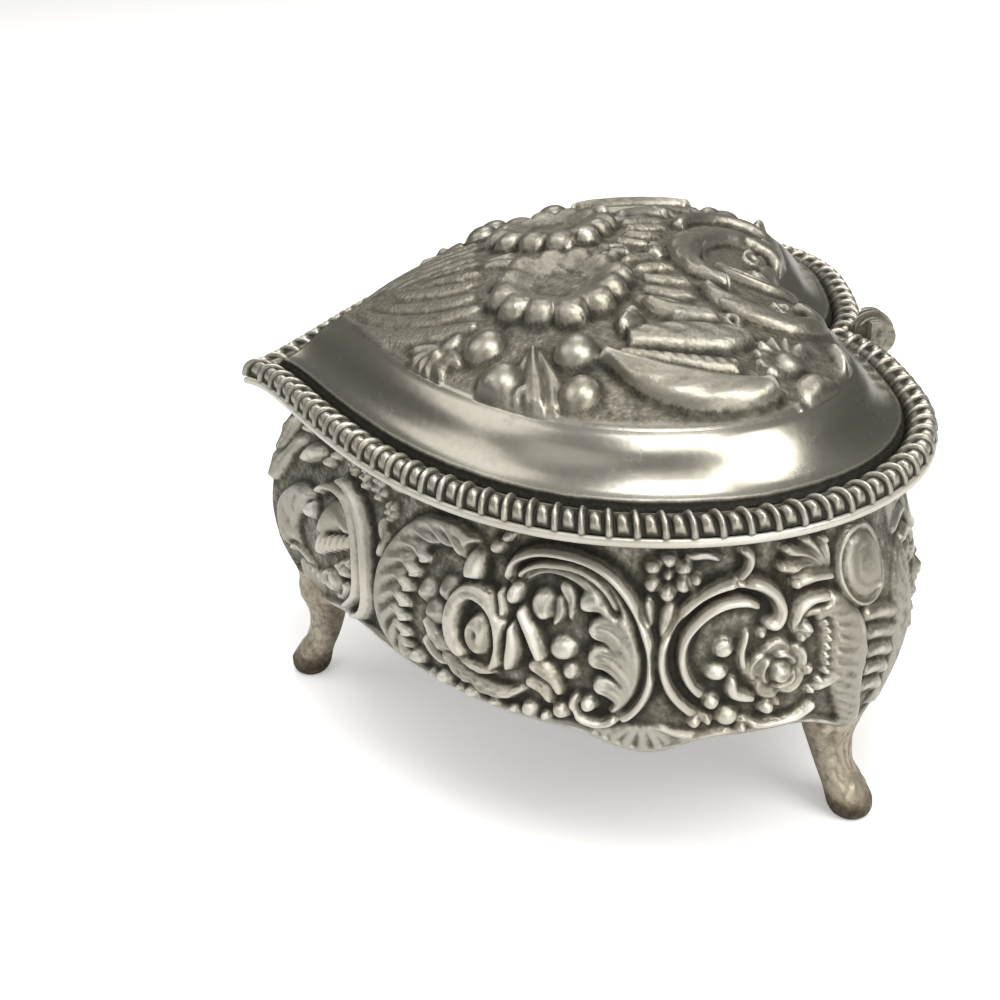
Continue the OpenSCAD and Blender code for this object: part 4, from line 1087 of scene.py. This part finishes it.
def make_lid(metal):
    """Dome with its relief, polished cove, groove for the rope border, flange and hollow."""
    full = around(HALF_COLUMNS)
    n = len(full)
    shares, counts = dome_rings(full)
    flat = np.vstack([soften_cleft(dome_ring(full, u))[:: n // c] for u, c in zip(shares, counts)])
    relief = Relief(flat[:, 0], flat[:, 1] - DRAWN_Y)
    draw_lid(relief)
    # the outer edge of the panel stays free of ornament and rolls over into the cove
    u_all = np.repeat(shares, counts)
    keep = ease(u_all, 0.998, 0.968)
    h = 0.86 * relief.h * keep
    gloss = np.maximum(relief.gloss, 0.25) * keep
    gloss += (1.9 - gloss) * ease(u_all, 0.962, 0.992)
    # smooth and find hollows over each run of rings with as many points
    shade = np.zeros(len(h))
    first = 0
    for c, same in itertools.groupby(counts):
        rows = len(list(same))
        part = slice(first, first + rows * c)
        rings = blur(h[part].reshape(rows, c), 8, wrap=True)
        h[part] = rings.ravel()
        wide = np.concatenate([rings[:, -8:], rings, rings[:, :8]], axis=1)
        shade[part] = (wide_mean(wide_mean(wide, 4), 4)[:, 8:-8] - rings).ravel()
        first += rows * c
    # heights stand along the dome's own normal, close enough to straight up with a slight lean out
    outward = flat[:, :2] - [0, CY]
    outward /= np.linalg.norm(outward, axis=1)[:, None] + 1e-12
    flat = flat + h[:, None] * np.column_stack([0.28 * u_all[:, None] ** 3 * outward, np.ones(len(h))])
    skin = Skin()
    firsts = np.cumsum([0] + counts[:-1])
    for first, c in zip(firsts[::-1], counts[::-1]):
        skin.ring(flat[first:first + c], shade[first:first + c], gloss[first:first + c])
    skin.cap((0, CY, float(dome_z(0)) + 0.3), at_start=True)
    profile = lid_profile()[::-1]
    for k, (inset, z) in enumerate(profile[1:]):
        near_groove = ease(k, len(profile) - 6, len(profile) - 1)
        p = soften_cleft(loop(full, inset, z), 1 - k / (len(profile) - 2))
        skin.ring(p, 0.45 * near_groove, 2.0 - near_groove)
    # lip above the groove, the groove, the flange and the seam face; the flange and the seam lip get darkness
    # below zero, which paints them pale: a painted reflection of the bright floor
    for inset, z, dark, shine in (
            (GROOVE_IN + 0.5, FLANGE_Z + ROPE_H - 0.7, 0.5, 1),
            (GROOVE_IN + 0.2, FLANGE_Z + ROPE_H - 1.0, 0.9, 0.6),
            (GROOVE_IN, FLANGE_Z + 1.2, 1.2, 0.3),
            (GROOVE_IN - 0.3, FLANGE_Z + 0.1, 1.2, 0.3),
            (1.0, FLANGE_Z + 0.1, 0.9, 0.5),
            (-0.1, FLANGE_Z + 0.4, 0.2, 1),
            (-0.5, FLANGE_Z + 0.36, -0.9, 1.3),
            (-0.72, FLANGE_Z + 0.22, -1.5, 1.3),
            (-0.8, FLANGE_Z - 0.15, -1.5, 1.3),
            (-0.76, SEAM + 0.26, -1.5, 1.3),
            (-0.55, SEAM + 0.05, -1.3, 1.2),
            (0.1, SEAM, 0.6, 1),
            (2, SEAM, 0.2, 0.5),
            (6, SEAM, 0.2, 0.5),
            (HOLLOW_IN, SEAM, 0, 0.5),
            (HOLLOW_IN, LIP_Z, 0.3, 0.3)):
        skin.ring(loop(full, inset, z), dark, shine)
    skin.ring(loop(full, BEND_IN, BEND_Z), gloss=0.3)
    c = n
    for u in (0.94, 0.8, 0.64, 0.48, 0.36, 0.2, 0.1):
        skin.ring(dome_ring(full, u, PANEL_IN + LID_T, LID_T)[:: n // c], gloss=0.3)
        if u < 0.7 and c % 4 == 0:
            c //= 2
    skin.cap((0, CY, float(dome_z(0)) - LID_T), gloss=0.3)
    return skin.build("lid_casting", metal)


def make_rope(metal):
    """Rope border: tall narrow turns with a drop between each two."""
    half = 1300
    rows = 26
    full = around(half)
    pitch = 2 * TOTAL / ROPE_TURNS
    a = np.linspace(0, math.pi, rows)
    skin = Skin()
    fade = np.clip(np.minimum(np.abs(full), TOTAL - np.abs(full)) / 5, 0, 1)
    heights = []
    for angle in a:
        side = math.cos(angle)  # 1 at the groove, -1 outside
        p = (np.abs(full) + 0.55 * side * fade) / pitch
        p = p - np.floor(p)
        across = np.abs(p - 0.5) * 2  # 1 at a turn's middle, 0 at a drop's
        bar = np.sqrt(np.clip(1 - ((1 - across) / 0.3) ** 2, 0, 1))
        drop_mid = math.exp(-((angle - 2.25) / 0.68) ** 4)
        drop = 0.92 * drop_mid * np.sqrt(np.clip(1 - (across / 0.46) ** 2, 0, 1))
        # toward the groove the turns run together into a dull band
        merged = 0.5 + 0.42 * bar + 0.12 * np.sqrt(1 - across)
        outside = float(ease(angle, 0.9, 1.75))
        heights.append(merged + (np.maximum(bar, drop) - merged) * outside)
    h = blur(np.array(heights), 1, wrap=True)
    shade = wide_mean(h, 3) - h
    for k, angle in enumerate(a):
        swell = 0.66 + 0.34 * h[k]
        mid_in = 0.5 * (GROOVE_IN - ROPE_OUT)
        reach = 0.5 * (GROOVE_IN + ROPE_OUT) * (0.74 + 0.26 * h[k])
        z = FLANGE_Z + 0.1 + 0.5 * max(0, -math.cos(angle)) + (ROPE_H - 0.2) * math.sin(angle) * swell
        dark = shade[k] * 2.2 + 0.2 * (1 - math.sin(angle)) + 0.1
        shine = 0.1 + (0.35 + 0.75 * ease(angle, 0.9, 1.9)) * h[k]
        skin.ring(loop(full, mid_in + reach * math.cos(angle), z), dark, shine)
    skin.ring(loop(full, 1.2, FLANGE_Z), gloss=0.2)
    skin.close()
    return skin.build("rope_border", metal)


# a foot from the ground up: height, how far in it stands, width beyond the ankle's, thickness
ANKLE_W, FOOT_H = 5.6, 20.5
FOOT_ROWS = np.array([
    [0, 0, -1.2, 4.6],
    [0.5, 0, -0.2, 5.6],
    [1.4, 0.1, 0.5, 6.4],
    [2.6, 0.3, 0.9, 6.6],
    [4.3, 1.1, 0.7, 5.9],
    [6.4, 2.5, 0.1, 5.3],
    [8.6, 3.4, 0.3, 5.2],
    [11.5, 4, 1.6, 5.8],
    [14.5, 4, 4, 7.2],
    [17.5, 3.2, 6, 8.6],
    [FOOT_H, 2.6, 6.8, 9.4],
])


def draw_foot(r):
    """x is the way round from the front in millimetres, y the height."""
    for k in (-1, 0, 1):
        r.stroke([(3.1 * k, 19.5), (2.2 * k, 14.5), (1.1 * k, 10.5), (0.4 * k, 6.6)], 1.2, 1.0, ribbed_leaf,
                 lambda t: leafy(t, 0.5, 0.55))
    for k in (-1, 1):
        r.stroke([(2.6 * k, 4.8), (3.4 * k, 7.2), (2.6 * k, 9.6)], 0.8, 0.8)
        r.stroke([(5 * k, 18), (5.2 * k, 14), (4 * k, 11)], 0.9, 0.8)
        r.blob(3.2 * k, 11.2, 0.9, 0.9, 0.9)
    r.stroke([(-3.4, 3.9), (-1.7, 4.8), (0, 5.2), (1.7, 4.8), (3.4, 3.9)], 0.5, 0.7)
    r.stroke([(0, 5.6), (0, 3.4), (0, 1.6)], 0.9, 0.5, soft_round, lambda t: leafy(t, 0.5, 0.8))


def make_foot(name, s0, side, metal):
    """A scroll foot on a rounded toe below the rim at run s0; side -1 puts it on the left."""
    rim = on_rim([s0], [0.0])[0]
    inward = on_rim([s0], [1.0])[0]
    out = np.array([0.0, -1.0]) if s0 == 0 else (rim - inward) / np.linalg.norm(rim - inward)
    across = np.array([-out[1], out[0]])
    rows, m = ((130, 128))
    z = np.linspace(0, FOOT_H, rows)
    at = [np.interp(z, FOOT_ROWS[:, 0], FOOT_ROWS[:, k]) for k in (1, 2, 3)]
    # round off the joints between the stations, but keep the toe's tight curve
    for k in range(3):
        v = at[k].copy()
        for _ in range(40):
            v[1:-1] = 0.25 * v[:-2] + 0.5 * v[1:-1] + 0.25 * v[2:]
        w = ease(z, 1.2, 5.0)
        at[k] = at[k] * (1 - w) + v * w
    a = np.linspace(0, 2 * math.pi, m, endpoint=False)
    d_in, width, thick = at
    # the top, inside the wall, draws in
    width, thick = width - 4.5 * ease(z, 15, 19.5), thick - 3.6 * ease(z, 15, 19.5)
    from_front = (np.degrees(a) + 90 + 180) % 360 - 180
    x = np.radians(from_front)[None] * (0.25 * ANKLE_W + 0.25 * (width + thick))[:, None]
    relief = Relief(x, np.broadcast_to(z[:, None], x.shape))
    draw_foot(relief)
    h = blur(relief.grid(), 1, wrap=True) * ease(z, 0.6, 2.4)[:, None]
    shade = wide_mean(h, 3) - h
    skin = Skin()
    for k in range(rows):
        e = d_in[k] + (thick[k] / 2 + h[k] * 0.22) * np.sin(a)
        w = ((ANKLE_W + width[k]) / 2 + h[k] * 0.22) * np.cos(a)
        p = rim + np.outer(-(TOE_IN + e), out) + np.outer(w, across)
        p[:, 0] *= side
        skin.ring(np.column_stack([p, np.full(m, z[k])]), 0.3 * shade[k] + 0.45 * ease(z[k], 5, 1), 0.75)
    base = rim - out * TOE_IN
    skin.cap((base[0] * side, base[1], 0), at_start=True)
    top = rim - out * (TOE_IN + d_in[-1])
    skin.cap((top[0] * side, top[1], FOOT_H))
    return skin.build(name, metal, flip=side < 0)


# ---- linings ----
LINING_COLUMNS = 200


def make_wall_lining(cloth):
    """Cloth on card inside the wall, its upper edge rounded over."""
    full = around(LINING_COLUMNS)
    skin = Skin()
    low, high = PAD_Z + PAD_T + 0.2, SEAM - 1.6

    def back_of_cloth(z):
        return float(wall_in(z)) + WALL_T + CLOTH_GAP

    levels = np.linspace(low, high, 12)
    ripple = 0.05 * np.sin(full * 1.9)
    for k, z in enumerate(levels):
        face = back_of_cloth(z) + LINING_T - 0.35 * (k in (0, len(levels) - 1))
        skin.ring(loop(full, face + ripple, z))
    skin.ring(loop(full, back_of_cloth(high) + 0.5, high + 0.25))
    for z in levels[::-1][::3]:
        skin.ring(loop(full, back_of_cloth(z), z))
    skin.close()
    return skin.build("wall_lining_cloth", cloth, flip=True)


def make_pad(cloth):
    """Cushion on the bottom, crowned from its edge to the middle."""
    half = 160
    full = around(half)
    edge = float(wall_in(PAD_Z)) + WALL_T + CLOTH_GAP + 0.5
    skin = Skin()
    skin.ring(loop(full, edge + 0.5, PAD_Z))
    skin.ring(loop(full, edge, PAD_Z + 0.5))
    skin.ring(loop(full, edge, PAD_Z + 0.75 * PAD_T))
    top = PAD_Z + PAD_T
    for inset in (0.5, 1.6, 3.5, 6.5, 10):
        crown = 0.86 + 0.14 * math.sin(min(1, inset / 6) * math.pi / 2)
        skin.ring(loop(full, edge + inset, PAD_Z + PAD_T * crown))
    # the last rings shrink toward the middle
    inner = loop(full, edge + 12, top)
    for inset in (15, 20, 26):
        u = 1 - (inset - 12) / 18
        skin.ring(np.column_stack([inner[:, 0] * u, CY + (inner[:, 1] - CY) * u, np.full(len(full), top)]))
    skin.cap((0, CY, top))
    skin.cap((0, CY, PAD_Z), at_start=True)
    return skin.build("floor_cushion", cloth)


def make_lid_lining(cloth):
    """Cloth on card inside the lid's hollow."""
    full = around(LINING_COLUMNS)
    skin = Skin()

    def shell(g):
        """Rings at a distance g from the lid, from the seam up."""
        rows = [loop(full, HOLLOW_IN + g, SEAM + 0.4), loop(full, HOLLOW_IN + g, LIP_Z - 0.3 * g),
                loop(full, BEND_IN + g, BEND_Z - g)]
        return rows + [dome_ring(full, u, PANEL_IN + LID_T + g, LID_T + g)
                       for u in (0.94, 0.85, 0.72, 0.6, 0.48, 0.36, 0.24, 0.12)]

    for p in shell(CLOTH_GAP + LINING_T)[::-1] + shell(CLOTH_GAP):
        skin.ring(p)
    skin.cap((0, CY, float(dome_z(0)) - LID_T - CLOTH_GAP - LINING_T), at_start=True)
    skin.cap((0, CY, float(dome_z(0)) - LID_T - CLOTH_GAP))
    return skin.build("lid_lining_cloth", cloth, flip=True)


# ---- assembly ----
metal = cast_metal("aged_plate")
# a darker copy of the wall's metal for the lid: painted shade on the top
shaded_lid_metal = cast_metal("aged_plate_lid_shaded", light=(0.38, 0.362, 0.308), tone=0.1)
rope_metal = cast_metal("aged_plate_border", stipple=0.3, rough=0.36)
foot_metal = cast_metal("aged_plate_feet", light=(0.52, 0.47, 0.38), dark=(0.17, 0.14, 0.10), rough=0.46,
                        stipple=0.3)
hinge_metal = cast_metal("aged_plate_hinge", stipple=0.12, tone=-0.1, ribs=2.2)
cloth = cloth_material("claret_velvet")
sheet = cast_metal("sheet_bottom", light=(0.46, 0.42, 0.34), dark=(0.10, 0.08, 0.06), rough=0.42,
                   stipple=0.15)
pin_metal = cast_metal("pin_steel", light=(0.55, 0.54, 0.52), dark=(0.12, 0.11, 0.10), rough=0.3, stipple=0.1)

wall = make_wall(metal)
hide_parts("wall")
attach(wall, "case")
lid = make_lid(shaded_lid_metal)
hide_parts("lid")
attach(lid, "lid")
rope = make_rope(rope_metal)
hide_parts("lid")
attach(rope, "lid")
for node, s0, side in (("foot_tip", 0.0, 1), ("foot_right", REAR_FOOT, 1), ("foot_left", REAR_FOOT, -1)):
    foot = make_foot(node + "_casting", s0, side, foot_metal)
    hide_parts(node)
    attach(foot, "case")
for make, node, body in ((make_wall_lining, "wall_lining", "case"), (make_pad, "floor_pad", "case"),
                         (make_lid_lining, "lid_lining", "lid")):
    piece = make(cloth)
    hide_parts(node)
    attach(piece, body)
for node, mat in (("hinge_bracket", hinge_metal), ("hinge_shell", hinge_metal), ("base_plate", sheet),
                  ("hinge_pin", pin_metal)):
    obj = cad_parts[node]
    for place in obj.material_slots:
        place.material = mat
    if not obj.material_slots:
        obj.data.materials.append(mat)

# ---- floor, camera and light ----
scene = bpy.context.scene
bpy.ops.mesh.primitive_plane_add(size=6, location=(0, 0, 0))
floor = bpy.context.object
floor.name = "floor"
floor_mat, tree, shader = node_material("paper_floor")
shader.inputs["Base Color"].default_value = (0.93, 0.925, 0.92, 1)
shader.inputs["Roughness"].default_value = 0.8
shader.inputs["Specular IOR Level"].default_value = 0.2
seen = add(tree, "ShaderNodeLightPath").outputs["Is Camera Ray"]
tree.links.new(math_node(tree, "MULTIPLY", seen, 0.32), shader.inputs["Emission Strength"])
shader.inputs["Emission Color"].default_value = (1, 1, 1, 1)
floor.data.materials.append(floor_mat)

AZIMUTH, ELEVATION, DISTANCE, ROLL = 90.51, 28.1, 0.219, -3.2
AIM = Vector((0, -0.01111, 0.02997))
az, el = math.radians(AZIMUTH), math.radians(ELEVATION)
back = Vector((math.sin(az) * math.cos(el), -math.cos(az) * math.cos(el), math.sin(el)))
right = (-back).cross(Vector((0, 0, 1))).normalized()
up = right.cross(-back)
roll = math.radians(ROLL)
right, up = right * math.cos(roll) + up * math.sin(roll), -right * math.sin(roll) + up * math.cos(roll)
camera_data = bpy.data.cameras.new("camera")
camera_data.lens, camera_data.sensor_width = 49.95, 36
camera_data.clip_start, camera_data.clip_end = 0.01, 20
camera = bpy.data.objects.new("camera", camera_data)
camera.matrix_world = Matrix.Translation(AIM + back * DISTANCE) @ Matrix((right, up,
        back)).transposed().to_4x4()
scene.collection.objects.link(camera)
scene.camera = camera


LIT_POINT = Vector((0, 0, 0.03))


def area(name, place, size, power, colour):
    """A square lamp turned to the box."""
    data = bpy.data.lights.new(name, "AREA")
    data.shape = "RECTANGLE"
    data.size, data.size_y = size, size
    data.energy, data.color = power, colour
    lamp = bpy.data.objects.new(name, data)
    lamp.location = place
    lamp.rotation_euler = (LIT_POINT - Vector(place)).to_track_quat("-Z", "Y").to_euler()
    scene.collection.objects.link(lamp)


area("window", (0.45, 0.5, 0.75), 0.5, 4.6, (1.0, 0.985, 0.96))
area("sky", (0.26, 0.02, 0.95), 0.42, 3.2, (1.0, 1.0, 1.0))
area("left", (-0.15, -0.62, 0.72), 0.5, 1.3, (1.0, 0.99, 0.975))
area("low", (0.8, 0.25, 0.2), 0.5, 1.8, (1.0, 0.99, 0.97))
area("back", (-0.6, 0.0, 0.8), 0.45, 1.5, (1.0, 0.99, 0.975))
area("front", (0.62, -0.72, 0.62), 0.75, 1.2, (1.0, 0.99, 0.975))

# the room is grey to the metal and white to the camera
world = bpy.data.worlds.new("room")
scene.world = world
world.use_nodes = True
tree = world.node_tree
tree.nodes.clear()
out = tree.nodes.new("ShaderNodeOutputWorld")
room, white = tree.nodes.new("ShaderNodeBackground"), tree.nodes.new("ShaderNodeBackground")
white.inputs["Color"].default_value = (0.97, 0.965, 0.96, 1)
white.inputs["Strength"].default_value = 1.0
sky_dir = add(tree, "ShaderNodeTexCoord").outputs["Generated"]
split = tree.nodes.new("ShaderNodeSeparateXYZ")
tree.links.new(sky_dir, split.inputs[0])
tone = ramp(tree, math_node(tree, "MULTIPLY_ADD", split.outputs["Z"], 0.5, 0.5),
            [(0.0, (0.6, 0.59, 0.57)), (0.5, (0.20, 0.195, 0.18)), (0.68, (0.26, 0.255, 0.24)),
             (0.88, (0.40, 0.40, 0.39)), (1.0, (0.75, 0.75, 0.76))])
tree.links.new(tone, room.inputs["Color"])
room.inputs["Strength"].default_value = 0.82
path = tree.nodes.new("ShaderNodeLightPath")
mix = tree.nodes.new("ShaderNodeMixShader")
tree.links.new(path.outputs["Is Camera Ray"], mix.inputs[0])
tree.links.new(room.outputs[0], mix.inputs[1])
tree.links.new(white.outputs[0], mix.inputs[2])
tree.links.new(mix.outputs[0], out.inputs[0])
scene.view_settings.view_transform = "Standard"
